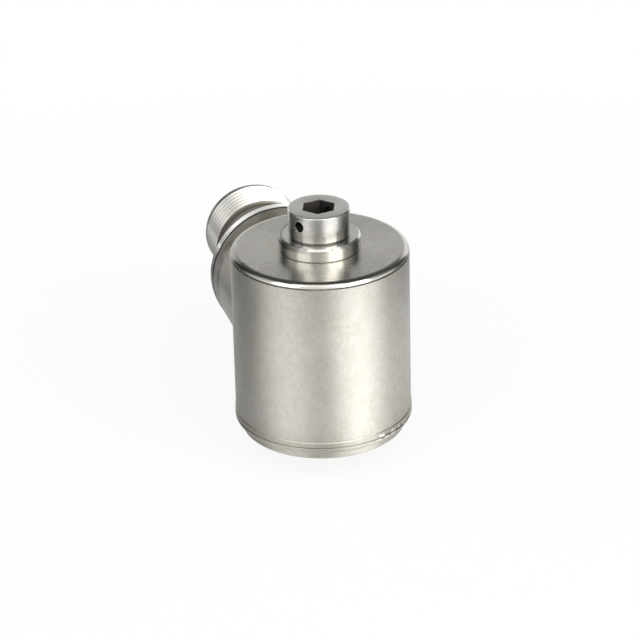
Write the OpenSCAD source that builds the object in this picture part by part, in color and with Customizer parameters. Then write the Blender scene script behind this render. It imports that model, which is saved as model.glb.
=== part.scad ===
// Low-profile vibration sensor: a round stainless case on a turned base, a captive mounting screw
// through its centre tube, and a threaded two-pin connector on a side neck.
// Millimetres. +Z is up along the screw, +Y is along the connector, and the origin is in the middle
// of the mounting face.

/* [Case] */
// Outer diameter of the case
case_d = 27.6; // [27.2:0.1:32]
// Height of the case's flat top above the mounting face
case_h = 30.3; // [29:0.1:38]
// Thickness of the case's side wall
case_wall = 1.6; // [1:0.1:1.8]
// Thickness of the case's flat top
case_top_t = 2.2; // [1.4:0.1:3.4]
// Rounding of the case's top rim
rim_r = 1.05; // [0.4:0.05:1.4]
// How far the weld lip at the seam stands out from the case
lip_out = 0.13; // [0.05:0.01:0.3]
// Height of the weld lip above the seam
lip_h = 0.8; // [0.4:0.1:1.2]

/* [Base] */
// Height of the base plate that the sensing element stands on
base_t = 4.2; // [3:0.1:5]
// How far the foot ring with the mounting face stands back from the weld lip
foot_inset = 1.08; // [0.7:0.01:3.5]
// Height of the foot ring
foot_h = 1.1; // [0.6:0.1:1.2]
// Width of the groove between the foot ring and the flange
foot_groove_h = 0.2; // [0.1:0.05:0.3]
// Depth of the groove between the foot ring and the flange
foot_groove_depth = 0.35; // [0.1:0.05:0.6]
// Height of the seam where the case sits on the base's flange
seam_z = 2.4; // [2.3:0.1:2.9]
// Rounding of the flange's lower edge
flange_r = 0.95; // [0.3:0.05:1]
// Outer diameter of the centre tube
tube_d = 10.2; // [10:0.1:11]

/* [Top boss] */
// Diameter of the polished boss under the screw's head
boss_d = 12.7; // [12.2:0.1:15]
// Height of the boss above the case's flat top
boss_h = 2.15; // [1.4:0.05:4]
// Chamfer round the boss's top
boss_chamfer = 0.3; // [0.1:0.05:0.6]
// Wall of the boss's sleeve round the centre tube
boss_sleeve_wall = 0.63; // [0.4:0.01:0.9]

/* [Captive screw] */
// Diameter of the screw's thread and journals
screw_d = 6.35; // [5.8:0.05:6.6]
// Diameter of the screw's waist and of its ring groove
waist_d = 5.2; // [4.4:0.05:5.5]
// Diameter of the screw's head
head_d = 9.5; // [8.6:0.05:12]
// Height of the screw's head
head_h = 4.4; // [4:0.05:6]
// Width across the flats of the hex socket
socket_af = 4.76; // [4:0.01:5.2]
// Depth of the hex socket
socket_depth = 2.7; // [2.2:0.1:3.2]
// Turn of the hex socket as the screw stands
socket_turn = 10.3; // [0:0.1:59.9]
// Diameter of the lock-wire hole across the head
wire_hole_d = 1.6; // [1:0.1:1.8]
// Depth of the lock-wire hole's middle under the head's top
wire_hole_drop = 1.7; // [1.2:0.1:2]
// Direction of the lock-wire hole
wire_hole_turn = 34.4; // [0:0.1:179]
// How far the screw's threaded end stands out of the mounting face
stud_out = 4.6; // [3:0.1:8]
// How far the screw floats up in the case
screw_float = 5; // [3:0.1:7]

/* [Retaining ring] */
// Outer diameter of the retaining ring
ring_d = 8; // [7.2:0.1:8.2]
// Thickness of the retaining ring
ring_t = 0.8; // [0.5:0.1:1]
// Width of the slot in the retaining ring
ring_slot_w = 2.4; // [1:0.1:4]
// Depth of the ring's groove above the mounting face, with the screw seated
ring_z = 0.9; // [0.4:0.1:2]

/* [Side neck] */
// Height of the connector's axis above the mounting face
conn_z = 15; // [14.6:0.1:17]
// Outer diameter of the side neck
neck_d = 22.4; // [20:0.1:23]
// Wall of the side neck
neck_wall = 2.7; // [1.8:0.1:3]
// How far the side neck stands out of the case
neck_out = 7.6; // [6:0.1:12]

/* [Connector shell] */
// Thickness of the shell's base ring beside the neck
shell_base_t = 3.25; // [2.4:0.05:6]
// Width of the line groove between the base ring and the flange
line_w = 0.25; // [0.15:0.05:0.6]
// Depth of that line groove
line_depth = 0.3; // [0.15:0.05:0.6]
// How far the shell's flange stands out from the neck
flange_out = 0.05; // [0.02:0.01:0.6]
// Thickness of the shell's flange
flange_t = 1.5; // [1:0.1:3]
// How far the barrel behind the flange stands out from the thread
barrel_out = 0.86; // [0.4:0.02:1.4]
// Length of the barrel
barrel_len = 4.6; // [3:0.1:8]
// Depth of the relief between barrel and thread
relief_depth = 0.74; // [0.4:0.02:1]
// Length of the relief
relief_len = 3.3; // [2:0.1:4.5]
// Outer diameter of the connector's thread
thread_d = 15.875; // [15.5:0.005:16.5]
// Length of the connector's thread
thread_len = 8.7; // [7.5:0.1:12]
// Pitch of the connector's thread
thread_pitch = 1.058; // [0.9:0.001:1.3]
// Depth of the connector's thread
thread_depth = 0.573; // [0.4:0.001:0.65]
// Chamfer at the thread's ends
thread_chamfer = 0.45; // [0.2:0.05:0.7]
// Wall between the connector's thread and its socket
shell_wall = 1.49; // [1.3:0.01:1.7]
// Depth of the connector's socket in front of the glass
shell_bore_depth = 9.5; // [9:0.1:11]
// Width of the polarising key in the socket
key_w = 1.6; // [1:0.1:2.4]
// Height of the polarising key
key_h = 0.9; // [0.6:0.1:1.2]

/* [Contacts] */
// Thickness of the glass seal
glass_t = 2.5; // [1.6:0.1:3.2]
// Diameter of the contact pins
pin_d = 1.57; // [1.2:0.01:1.8]
// Distance between the contact pins' middles
pin_pitch = 4.8; // [4:0.1:5.6]
// How far the pins' tips lie inside the shell's mouth
pin_setback = 2; // [1:0.1:3]
// Diameter of the pins' solder tails
tail_d = 1; // [0.7:0.05:1.1]

/* [Sensing element] */
// Thickness of the lower insulator
lower_insulator_t = 0.8; // [0.5:0.1:1]
// Gap between the lower insulator and the shield can
lower_insulator_gap = 0.65; // [0.2:0.05:2]
// Wall of the insulating sleeve
sleeve_wall = 0.55; // [0.4:0.05:0.6]
// Room above the element post for its insulator and clamp nut
nut_room = 4.2; // [3.8:0.1:5.4]
// Wall of the element post
post_wall = 1.15; // [0.9:0.05:1.2]
// Gap between the element post's foot and the shield can
post_foot_gap = 1.15; // [0.4:0.05:2.2]
// Thickness of the element post's foot
post_foot_t = 1.6; // [1:0.1:2]
// Wall of the piezo ring
piezo_wall = 1; // [0.7:0.05:1.1]
// How far the piezo ring stands back from each end of the seismic mass
piezo_inset = 0.2; // [0.1:0.05:1]
// Gap between the seismic mass and the shield can
mass_gap = 0.63; // [0.4:0.01:1.6]
// How far the seismic mass ends under the post's top
mass_drop = 0.3; // [0.1:0.1:3]
// Clearance under the seismic mass
mass_lift = 0.5; // [0.2:0.1:0.6]
// Thickness of the upper insulator
upper_insulator_t = 0.8; // [0.5:0.1:1]
// Outer diameter of the clamp nut
nut_d = 15; // [13.9:0.1:17]
// Height of the clamp nut
nut_h = 2.2; // [1.6:0.1:2.4]

/* [Shield] */
// Gap between the case's inner wall and the shield can
can_gap = 0.7; // [0.4:0.05:0.9]
// Wall of the shield can
can_wall = 0.35; // [0.2:0.05:0.5]
// Room above the shield can for the circuit board
board_room = 8.9; // [8.5:0.1:9.1]
// Thickness of the shield lid
lid_t = 0.4; // [0.3:0.05:0.6]

/* [Circuit board] */
// Height of the board's spacers
spacer_h = 3; // [2.8:0.1:3.4]
// Thickness of the circuit board
board_t = 1.2; // [0.8:0.1:1.4]
// Gap between the circuit board and the case's inner wall
board_gap = 0.8; // [0.5:0.1:1.4]
// Diameter of the lead wires
lead_d = 0.9; // [0.6:0.05:1.1]

/* [Filter board] */
// Thickness of the filter board
filter_t = 1; // [0.6:0.1:1.4]
// Diameter of the chamber that holds the filter board
chamber_d = 14; // [13.8:0.1:14.8]
// Distance from the filter board to the glass seal
throat_len = 3; // [2:0.1:4]

/* [Hidden] */
$fn = 96;

// How far a cut runs past the face that it starts from
over = 0.5;
// Radial clearance of turned pieces that are pushed together, then welded or bonded
slip = 0.03;
// Radial running clearance of the screw in its bore and of the ring on the screw
run_gap = 0.06;

// Colours, as the photograph shows them or as such pieces are
steel = "#cdcac3";
polished = "#dcdad5";
tinned = "#c2c1b4";
gold = "#d9b45a";
alumina = "#efece2";
board_green = "#2f6b45";
dark_plastic = "#2a2a2c";

// Case and base
case_r = case_d / 2;
inner_r = case_r - case_wall;
tube_r = tube_d / 2;
lip_r = case_r + lip_out;
foot_r = lip_r - foot_inset;
flange_z = foot_h + foot_groove_h;
foot_chamfer = 0.2;
seam_chamfer = 0.1;
// The centre tube ends a little under the flat top, against the boss's inner shoulder
tube_drop = 0.5;
tube_top = case_h - tube_drop;
bore_r = screw_d / 2 + run_gap;
recess_gap = 0.2;
recess_r = ring_d / 2 + recess_gap;
ring_top_gap = 0.2;
recess_top = ring_z + ring_t + screw_float + ring_top_gap;

// Boss
boss_r = boss_d / 2;
sleeve_in_r = tube_r + slip;
sleeve_out_r = sleeve_in_r + boss_sleeve_wall;
boss_sleeve_len = 2.7;
boss_foot_chamfer = 0.12;
boss_top = case_h + boss_h;

// Screw
head_r = head_d / 2;
head_top = boss_top + head_h;
head_chamfer = 0.12;
head_foot_chamfer = 0.3;
socket_cone_h = 0.8;
socket_entry = 0.12;
wire_hole_r = wire_hole_d / 2;
wire_hole_entry = 0.15;
upper_journal_len = 5.5;
lower_journal_len = 6;
neck_taper = 0.6;
groove_play = 0.05;
groove_low = ring_z - groove_play;
groove_high = ring_z + ring_t + groove_play;
stud_chamfer = 0.6;

// Side neck and connector, as distances from the case's axis
neck_r = neck_d / 2;
neck_bore_r = neck_r - neck_wall;
flange_rim_r = neck_r + flange_out;
thread_r = thread_d / 2;
barrel_r = thread_r + barrel_out;
relief_r = thread_r - relief_depth;
socket_r = thread_r - shell_wall;
neck_end = case_r + neck_out;
neck_edge = 0.15;
line_y = neck_end + shell_base_t;
flange_y = line_y + line_w;
barrel_y = flange_y + flange_t;
relief_y = barrel_y + barrel_len;
thread_y = relief_y + relief_len;
mouth_y = thread_y + thread_len;
// Crest and root widths of the 60 degree thread, as shares of its pitch
thread_crest_share = 0.125;
thread_root_share = 0.25;
thread_root_w = thread_pitch * thread_root_share;
thread_open_w = thread_pitch * (1 - thread_crest_share);
thread_turns = floor((thread_len - thread_chamfer) / thread_pitch);
thread_first_y = thread_y + (thread_len - (thread_turns - 1) * thread_pitch) / 2;
flange_edge = 0.2;
spigot_len = 2.4;
spigot_y = neck_end - spigot_len;
glass_front_y = mouth_y - shell_bore_depth;
glass_back_y = glass_front_y - glass_t;
filter_front_y = glass_back_y - throat_len;
filter_back_y = filter_front_y - filter_t;
glass_ledge = 0.5;
throat_r = socket_r - glass_ledge;
mouth_chamfer = 0.25;
key_inset = 0.8;
key_len = shell_bore_depth - 2 * key_inset;
glass_rise = 0.25;
glass_collar_wall = 0.5;
glass_collar_r = pin_d / 2 + glass_collar_wall;
pin_tip_y = mouth_y - pin_setback;
tail_out = 0.5;

// Sensing element, as heights above the mounting face and radii from the case's axis
can_r = inner_r - can_gap;
can_in_r = can_r - can_wall;
can_top = case_h - case_top_t - board_room;
insulator_in_r = tube_r + slip;
post_z = base_t + lower_insulator_t;
post_top = can_top - nut_room;
post_h = post_top - post_z;
sleeve_r = insulator_in_r + sleeve_wall;
post_in_r = sleeve_r + slip;
post_r = post_in_r + post_wall;
piezo_in_r = post_r + slip;
piezo_r = piezo_in_r + piezo_wall;
mass_in_r = piezo_r + slip;
mass_r = can_in_r - mass_gap;
mass_z = post_z + post_foot_t + mass_lift;
mass_top = post_top - mass_drop;
piezo_z = mass_z + piezo_inset;
piezo_h = mass_top - piezo_inset - piezo_z;
nut_z = post_top + upper_insulator_t;
nut_slot_w = 2;
nut_slot_depth = 1;
nut_slots = 4;

// Shield
lid_top = can_top + lid_t;
lid_skirt_h = 1;
lid_skirt_wall = 0.3;

// Circuit board
board_z = lid_top + spacer_h;
board_top = board_z + board_t;
board_tube_gap = 0.5;
board_in_r = tube_r + board_tube_gap;
board_r = inner_r - board_gap;
parts_r = (board_in_r + board_r) / 2;
spacer_angles = [35, 155, 275];
spacer_r = 1.1;
spacer_inset = 1.65;
spacer_pitch_r = board_r - spacer_inset;
board_screw_d = 1.2;
board_screw_head_d = 2.1;
board_screw_head_h = 0.6;
screw_slot_w = 0.3;
chip_size = [3.9, 4.9, 1.4];
chip_lift = 0.1;
chip_leg = [0.5, 0.4, 0.2];
chip_leg_pitch = 1.27;
chip_leg_reach = 0.35;
chip_leg_places = [-1.5, -0.5, 0.5, 1.5];
tantalum_angles = [190, 232];
tantalum_size = [2.8, 3.5, 1.9];
resistor_angles = [62, 82, 102, 122];
resistor_size = [1.25, 2, 0.5];
resistor_end = 0.35;
resistor_cap_share = 1.15;
diode_angle = 312;
diode_d = 1.4;
diode_len = 3.4;
element_wire_angle = 118;
element_wire_d = 0.5;
element_wire_r = (mass_in_r + mass_r) / 2;
wire_hole_gap = 0.4;

// Filter board
filter_gap = 0.1;
filter_r = chamber_d / 2 - filter_gap;
tail_hole_r = tail_d / 2 + slip;
filter_cap_size = [2, 1, 1.25];
surge_size = [3.5, 1.9, 2.6];
filter_row_share = 0.49;
filter_side_share = 0.61;
filter_row_drop = filter_r * filter_row_share;
filter_cap_x = filter_r * filter_side_share;
lead_pad_rise = 2.7;
lead_inset = 1.35;
lead_drop = 2;
lead_knee = 2.4;
lead_run = 8;
lead_steps = 16;
lead_sides = 12;

// Rounding cut for a profile's corner at x, y; sx and sy are 1 or -1, towards the corner's outside
module round_off(x, y, r, sx, sy) {
    translate([x - sx * r, y - sy * r])
        difference() {
            translate([sx > 0 ? 0 : -r - over, sy > 0 ? 0 : -r - over])
                square(r + over);
            circle(r = r);
        }
}

// Chamfer cut for a profile's corner, with the same signs
module chamfer_off(x, y, c, sx, sy) {
    polygon([
        [x + sx * over, y - sy * (c + over) + sy * over],
        [x, y - sy * c],
        [x - sx * c, y],
        [x - sx * c, y + sy * over],
        [x + sx * over, y + sy * over]
    ]);
}

// A ring between two radii, standing on z
module ring(r_in, r_out, h, z) {
    translate([0, 0, z])
        difference() {
            cylinder(r = r_out, h = h);
            translate([0, 0, -over])
                cylinder(r = r_in, h = h + 2 * over);
        }
}

// Turns what is drawn along +Z so that it lies along the connector's axis
module along_connector() {
    translate([0, 0, conn_z])
        rotate([-90, 0, 0])
            children();
}

// Places a board piece at an angle on the circle of the given radius
module on_circle(angle, r, z) {
    rotate([0, 0, angle])
        translate([r, 0, z])
            children();
}

// Base plate with its foot ring, flange, locating spigot, centre tube, screw bore and ring recess
module base() {
    color(steel)
        rotate_extrude()
            difference() {
                union() {
                    difference() {
                        square([foot_r, foot_h]);
                        chamfer_off(foot_r, 0, foot_chamfer, 1, -1);
                    }
                    square([foot_r - foot_groove_depth, seam_z]);
                    difference() {
                        translate([0, flange_z])
                            square([lip_r, seam_z - flange_z]);
                        round_off(lip_r, flange_z, flange_r, 1, -1);
                        chamfer_off(lip_r, seam_z, seam_chamfer, 1, 1);
                    }
                    square([inner_r - slip, base_t]);
                    square([tube_r, tube_top]);
                }
                translate([0, -over])
                    square([bore_r, tube_top + 2 * over]);
                translate([0, -over])
                    square([recess_r, recess_top + over]);
            }
}

// Round cup with a flat top, a rounded rim, a hole for the boss and a side hole for the neck
module case_shell() {
    color(steel)
        difference() {
            rotate_extrude()
                difference() {
                    union() {
                        translate([0, seam_z])
                            square([case_r, case_h - seam_z]);
                        polygon([
                            [0, seam_z],
                            [lip_r, seam_z],
                            [lip_r, seam_z + lip_h],
                            [case_r, seam_z + lip_h + lip_out],
                            [0, seam_z + lip_h + lip_out]
                        ]);
                    }
                    round_off(case_r, case_h, rim_r, 1, 1);
                    chamfer_off(lip_r, seam_z, seam_chamfer, 1, -1);
                    translate([0, seam_z - over])
                        square([inner_r, case_h - case_top_t - seam_z + over]);
                    square([sleeve_out_r + slip, case_h + over]);
                }
            along_connector()
                cylinder(r = neck_bore_r, h = case_r + over);
        }
}

// Polished collar under the screw's head, with a sleeve that goes down round the centre tube
module top_boss() {
    color(polished)
        rotate_extrude()
            difference() {
                union() {
                    difference() {
                        translate([0, case_h])
                            square([boss_r, boss_h]);
                        chamfer_off(boss_r, boss_top, boss_chamfer, 1, 1);
                        chamfer_off(boss_r, case_h, boss_foot_chamfer, 1, -1);
                    }
                    translate([0, case_h - boss_sleeve_len])
                        square([sleeve_out_r, boss_sleeve_len + over]);
                }
                square([sleeve_in_r, tube_top]);
                square([bore_r, boss_top + over]);
            }
}

// Screw with two journals, a waist, a ring groove and a threaded end; hex socket and lock-wire hole
module captive_screw() {
    r = screw_d / 2;
    waist_r = waist_d / 2;
    upper_low = boss_top - upper_journal_len;
    lower_high = groove_high + lower_journal_len;
    color(polished)
        difference() {
            rotate_extrude()
                difference() {
                    union() {
                        polygon([
                            [0, -stud_out],
                            [r - stud_chamfer, -stud_out],
                            [r, stud_chamfer - stud_out],
                            [r, groove_low],
                            [waist_r, groove_low],
                            [waist_r, groove_high],
                            [r, groove_high],
                            [r, lower_high - neck_taper],
                            [waist_r, lower_high],
                            [waist_r, upper_low],
                            [r, upper_low + neck_taper],
                            [r, boss_top],
                            [0, boss_top]
                        ]);
                        translate([0, boss_top])
                            square([head_r, head_h]);
                    }
                    chamfer_off(head_r, head_top, head_chamfer, 1, 1);
                    chamfer_off(head_r, boss_top, head_foot_chamfer, 1, -1);
                }
            translate([0, 0, head_top - socket_depth])
                rotate([0, 0, socket_turn])
                    cylinder(d = socket_af / cos(30), h = socket_depth + over, $fn = 6);
            translate([0, 0, head_top - socket_depth - socket_cone_h])
                cylinder(r1 = 0, r2 = socket_af / 2, h = socket_cone_h);
            translate([0, 0, head_top - socket_entry])
                cylinder(r1 = socket_af / 2, r2 = socket_af / 2 + 2 * socket_entry, h = 2 * socket_entry);
            translate([0, 0, head_top - wire_hole_drop])
                rotate([0, 90, wire_hole_turn])
                    cylinder(r = wire_hole_r, h = head_d + 2 * over, center = true);
            for (side = [0, 180])
                translate([0, 0, head_top - wire_hole_drop])
                    rotate([0, 90, wire_hole_turn + side])
                        translate([0, 0, head_r - wire_hole_entry])
                            cylinder(r1 = wire_hole_r, r2 = wire_hole_r + 2 * wire_hole_entry,
                                h = 2 * wire_hole_entry);
        }
}

// Split ring in the screw's groove; it can't pass the step at the top of the base's recess
module retaining_ring() {
    color(tinned)
        difference() {
            ring(waist_d / 2 + run_gap, ring_d / 2, ring_t, ring_z);
            translate([0, -ring_slot_w / 2, ring_z - over])
                cube([ring_d, ring_slot_w, ring_t + 2 * over]);
        }
}

// Side neck, cut to a saddle where it is welded to the case
module side_neck() {
    color(steel)
        difference() {
            along_connector()
                rotate_extrude()
                    difference() {
                        square([neck_r, neck_end]);
                        chamfer_off(neck_r, neck_end, neck_edge, 1, 1);
                        square([neck_bore_r, neck_end + over]);
                    }
            translate([0, 0, conn_z - neck_r - over])
                cylinder(r = case_r + slip, h = neck_d + 2 * over);
        }
}

// Outline of one turn of the connector's thread: 60 degree flanks with a flat root
module thread_groove() {
    polygon([
        [over, -thread_open_w / 2],
        [0, -thread_open_w / 2],
        [-thread_depth, -thread_root_w / 2],
        [-thread_depth, thread_root_w / 2],
        [0, thread_open_w / 2],
        [over, thread_open_w / 2]
    ]);
}

// Turned connector shell: spigot, base ring, line groove, flange, barrel, relief and thread, with the
// chamber for the filter board behind the glass seat and the socket with its key in front
module connector_shell() {
    color(polished) {
        difference() {
            along_connector()
                rotate_extrude()
                    difference() {
                        union() {
                            translate([0, spigot_y])
                                square([neck_bore_r - slip, spigot_len]);
                            translate([0, neck_end])
                                square([neck_r, shell_base_t]);
                            translate([0, neck_end])
                                square([flange_rim_r - line_depth, shell_base_t + line_w]);
                            translate([0, flange_y])
                                square([flange_rim_r, flange_t]);
                            translate([0, barrel_y])
                                square([barrel_r, barrel_len]);
                            translate([0, relief_y])
                                square([relief_r, relief_len + thread_len]);
                            translate([0, thread_y])
                                square([thread_r, thread_len]);
                        }
                        chamfer_off(neck_r, neck_end, neck_edge, 1, -1);
                        chamfer_off(flange_rim_r, barrel_y, flange_edge, 1, 1);
                        chamfer_off(thread_r, thread_y, thread_chamfer, 1, -1);
                        chamfer_off(thread_r, mouth_y, thread_chamfer, 1, 1);
                        for (i = [0 : thread_turns - 1])
                            translate([thread_r, thread_first_y + i * thread_pitch])
                                thread_groove();
                        translate([0, spigot_y - over])
                            square([chamber_d / 2, filter_front_y - spigot_y + over]);
                        square([throat_r, glass_back_y]);
                        translate([0, glass_back_y - slip])
                            square([socket_r, shell_bore_depth + glass_t + over]);
                        polygon([
                            [0, mouth_y + over],
                            [0, mouth_y - mouth_chamfer],
                            [socket_r, mouth_y - mouth_chamfer],
                            [socket_r + mouth_chamfer, mouth_y],
                            [socket_r + mouth_chamfer, mouth_y + over]
                        ]);
                    }
        }
        intersection() {
            translate([-key_w / 2, glass_front_y + key_inset, conn_z])
                cube([key_w, key_len, thread_d]);
            along_connector()
                rotate_extrude()
                    translate([socket_r - key_h, glass_front_y])
                        square([key_h + over, shell_bore_depth]);
        }
    }
}

// Glass disc fused into the shell, with a low collar round each pin
module glass_seal() {
    color("#3b6f63")
        along_connector()
            difference() {
                union() {
                    translate([0, 0, glass_back_y])
                        cylinder(r = socket_r - slip, h = glass_t);
                    for (side = [-1, 1])
                        translate([side * pin_pitch / 2, 0, glass_back_y])
                            cylinder(r = glass_collar_r, h = glass_t + glass_rise);
                }
                for (side = [-1, 1])
                    translate([side * pin_pitch / 2, 0, glass_back_y - over])
                        cylinder(r = pin_d / 2 + slip, h = glass_t + 2 * over);
            }
}

// One contact pin with a domed tip and a solder tail through the filter board
module contact_pin(side) {
    dome = pin_d / 2;
    color(gold)
        along_connector()
            translate([side * pin_pitch / 2, 0, 0]) {
                translate([0, 0, filter_back_y - tail_out])
                    cylinder(d = tail_d, h = glass_back_y - filter_back_y + tail_out + over);
                translate([0, 0, glass_back_y])
                    cylinder(d = pin_d, h = pin_tip_y - dome - glass_back_y);
                translate([0, 0, pin_tip_y - dome])
                    sphere(r = dome);
            }
}

module contact_pin_a() {
    contact_pin(-1);
}

module contact_pin_b() {
    contact_pin(1);
}

// Ceramic washer that keeps the element off the base
module lower_insulator() {
    color(alumina)
        ring(insulator_in_r, can_in_r - lower_insulator_gap, lower_insulator_t, base_t);
}

// Sleeve that keeps the element off the centre tube
module insulating_sleeve() {
    color("#c98a3c")
        ring(insulator_in_r, sleeve_r, post_h, post_z);
}

// Post with a foot; the piezo ring is bonded round it
module element_post() {
    color(steel)
        rotate_extrude()
            difference() {
                union() {
                    translate([0, post_z])
                        square([post_r, post_h]);
                    translate([0, post_z])
                        square([can_in_r - post_foot_gap, post_foot_t]);
                }
                square([post_in_r, post_top + over]);
            }
}

module piezo_ring() {
    color("#b9a27a")
        ring(piezo_in_r, piezo_r, piezo_h, piezo_z);
}

module seismic_mass() {
    color("#8d8b88")
        ring(mass_in_r, mass_r, mass_top - mass_z, mass_z);
}

// Ceramic washer between the element post and the clamp nut
module upper_insulator() {
    color(alumina)
        ring(insulator_in_r, post_r, upper_insulator_t, post_top);
}

// Slotted round nut on the centre tube; it clamps the element
module clamp_nut() {
    color(steel)
        difference() {
            ring(insulator_in_r, nut_d / 2, nut_h, nut_z);
            for (i = [0 : nut_slots - 1])
                rotate([0, 0, i * 360 / nut_slots])
                    translate([nut_d / 2 - nut_slot_depth, -nut_slot_w / 2, nut_z - over])
                        cube([nut_slot_depth + over, nut_slot_w, nut_h + 2 * over]);
        }
}

module shield_can() {
    color(tinned)
        ring(can_in_r, can_r, can_top - base_t, base_t);
}

// Lid of the shield can, with a skirt and a hole for the element's wire
module shield_lid() {
    color(tinned)
        difference() {
            union() {
                ring(insulator_in_r, can_r, lid_t, can_top);
                ring(can_in_r - slip - lid_skirt_wall, can_in_r - slip, lid_skirt_h + lid_t / 2,
                    can_top - lid_skirt_h);
            }
            on_circle(element_wire_angle, element_wire_r, can_top - over)
                cylinder(r = element_wire_d / 2 + wire_hole_gap, h = lid_t + 2 * over);
        }
}

// Three spacers that carry the circuit board on the shield lid
module board_spacers() {
    color(gold)
        for (a = spacer_angles)
            on_circle(a, spacer_pitch_r, lid_top)
                difference() {
                    cylinder(r = spacer_r, h = spacer_h);
                    translate([0, 0, -over])
                        cylinder(r = board_screw_d / 2 + slip, h = spacer_h + 2 * over);
                }
}

// Three slotted screws through the board into the spacers
module board_screws() {
    color(polished)
        for (a = spacer_angles)
            on_circle(a, spacer_pitch_r, board_top)
                difference() {
                    union() {
                        cylinder(d = board_screw_head_d, h = board_screw_head_h);
                        translate([0, 0, -board_t - spacer_h / 2])
                            cylinder(d = board_screw_d, h = board_t + spacer_h / 2 + board_screw_head_h / 2);
                    }
                    translate([-board_screw_head_d, -screw_slot_w / 2, board_screw_head_h / 2])
                        cube([2 * board_screw_head_d, screw_slot_w, board_screw_head_h]);
                }
}

module circuit_board() {
    color(board_green)
        difference() {
            ring(board_in_r, board_r, board_t, board_z);
            for (a = spacer_angles)
                on_circle(a, spacer_pitch_r, board_z - over)
                    cylinder(r = board_screw_d / 2 + slip, h = board_t + 2 * over);
        }
}

// Eight-legged amplifier chip
module amplifier_chip() {
    color(dark_plastic)
        on_circle(0, parts_r, board_top) {
            translate([-chip_size[0] / 2, -chip_size[1] / 2, chip_lift])
                cube(chip_size);
            for (side = [-1, 1])
                for (i = chip_leg_places)
                    translate([side * (chip_size[0] / 2 + chip_leg_reach / 2), i * chip_leg_pitch, 0]) {
                        translate([-chip_leg[0] / 2, -chip_leg[1] / 2, 0])
                            cube(chip_leg);
                        translate([-side * chip_leg[0] / 4 - chip_leg[0] / 4, -chip_leg[1] / 2, 0])
                            cube([chip_leg[0] / 2, chip_leg[1], chip_size[2] / 2]);
                    }
        }
}

// Two moulded tantalum capacitors
module tantalum_capacitors() {
    color("#d98b1f")
        for (a = tantalum_angles)
            on_circle(a, parts_r, board_top)
                translate([-tantalum_size[0] / 2, -tantalum_size[1] / 2, 0])
                    cube(tantalum_size);
}

// Row of chip resistors with raised end caps
module chip_resistors() {
    color(dark_plastic)
        for (a = resistor_angles)
            on_circle(a, parts_r, board_top) {
                translate([-resistor_size[0] / 2, -resistor_size[1] / 2, 0])
                    cube(resistor_size);
                for (side = [-1, 1])
                    translate([0, side * (resistor_size[1] - resistor_end) / 2, 0])
                        translate([-resistor_size[0] / 2, -resistor_end / 2, 0])
                            cube([resistor_size[0], resistor_end, resistor_size[2] * resistor_cap_share]);
            }
}

// Current regulator diode, a small cylinder that lies on the board
module regulator_diode() {
    color("#a8402e")
        on_circle(diode_angle, parts_r, board_top + diode_d / 2)
            rotate([90, 0, 0])
                cylinder(d = diode_d, h = diode_len, center = true);
}

// Round board on the pins' tails, against the shoulder of its chamber
module filter_board() {
    color(board_green)
        along_connector()
            difference() {
                translate([0, 0, filter_back_y])
                    cylinder(r = filter_r, h = filter_t);
                for (side = [-1, 1])
                    translate([side * pin_pitch / 2, 0, filter_back_y - over])
                        cylinder(r = tail_hole_r, h = filter_t + 2 * over);
            }
}

// Two chip capacitors on the back of the filter board
module filter_capacitors() {
    color("#b89a6a")
        for (side = [-1, 1])
            translate([side * filter_cap_x, filter_back_y, conn_z - filter_row_drop])
                translate([-filter_cap_size[0] / 2, -filter_cap_size[1], -filter_cap_size[2] / 2])
                    cube(filter_cap_size);
}

module surge_diode() {
    color(dark_plastic)
        translate([0, filter_back_y - surge_size[1], conn_z - filter_row_drop])
            translate([-surge_size[0] / 2, 0, -surge_size[2] / 2])
                cube(surge_size);
}

// Wire from the seismic mass up through the shield lid to the circuit board
module element_wire() {
    color("#e8e4da")
        on_circle(element_wire_angle, element_wire_r, mass_top)
            cylinder(d = element_wire_d, h = board_z - mass_top);
}

// Point of a cubic curve through its four control points, and its direction there
function curve(c, t) =
    pow(1 - t, 3) * c[0] + 3 * t * pow(1 - t, 2) * c[1] + 3 * t * t * (1 - t) * c[2] + pow(t, 3) * c[3];
function curve_way(c, t) =
    let (v = pow(1 - t, 2) * (c[1] - c[0]) + 2 * t * (1 - t) * (c[2] - c[1]) + t * t * (c[3] - c[2]))
        v / norm(v);

// Lead wire that bends from the circuit board down into the neck and on to the filter board
module lead_wire(side) {
    x = side * pin_pitch / 2;
    r = lead_d / 2;
    start = [board_r - lead_inset, board_z];
    end = [filter_back_y, conn_z + lead_pad_rise];
    knee_z = min(board_z - lead_drop, end[1] + lead_knee);
    c = [start, [start[0], knee_z], end - [lead_run, 0], end];
    n = lead_sides;
    points = [
        for (i = [0 : lead_steps])
            let (p = curve(c, i / lead_steps), w = curve_way(c, i / lead_steps))
                for (k = [0 : n - 1])
                    let (u = r * cos(360 * k / n), v = r * sin(360 * k / n))
                        [x + u, p[0] - v * w[1], p[1] + v * w[0]]
    ];
    sides = [
        for (i = [0 : lead_steps - 1])
            for (k = [0 : n - 1])
                [i * n + k, i * n + (k + 1) % n, (i + 1) * n + (k + 1) % n, (i + 1) * n + k]
    ];
    first_end = [for (k = [0 : n - 1]) n - 1 - k];
    last_end = [for (k = [0 : n - 1]) lead_steps * n + k];
    polyhedron(points, concat([first_end], sides, [last_end]));
}

module signal_wire() {
    color("#e9e6dc")
        lead_wire(-1);
}

module common_wire() {
    color("#303236")
        lead_wire(1);
}

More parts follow.
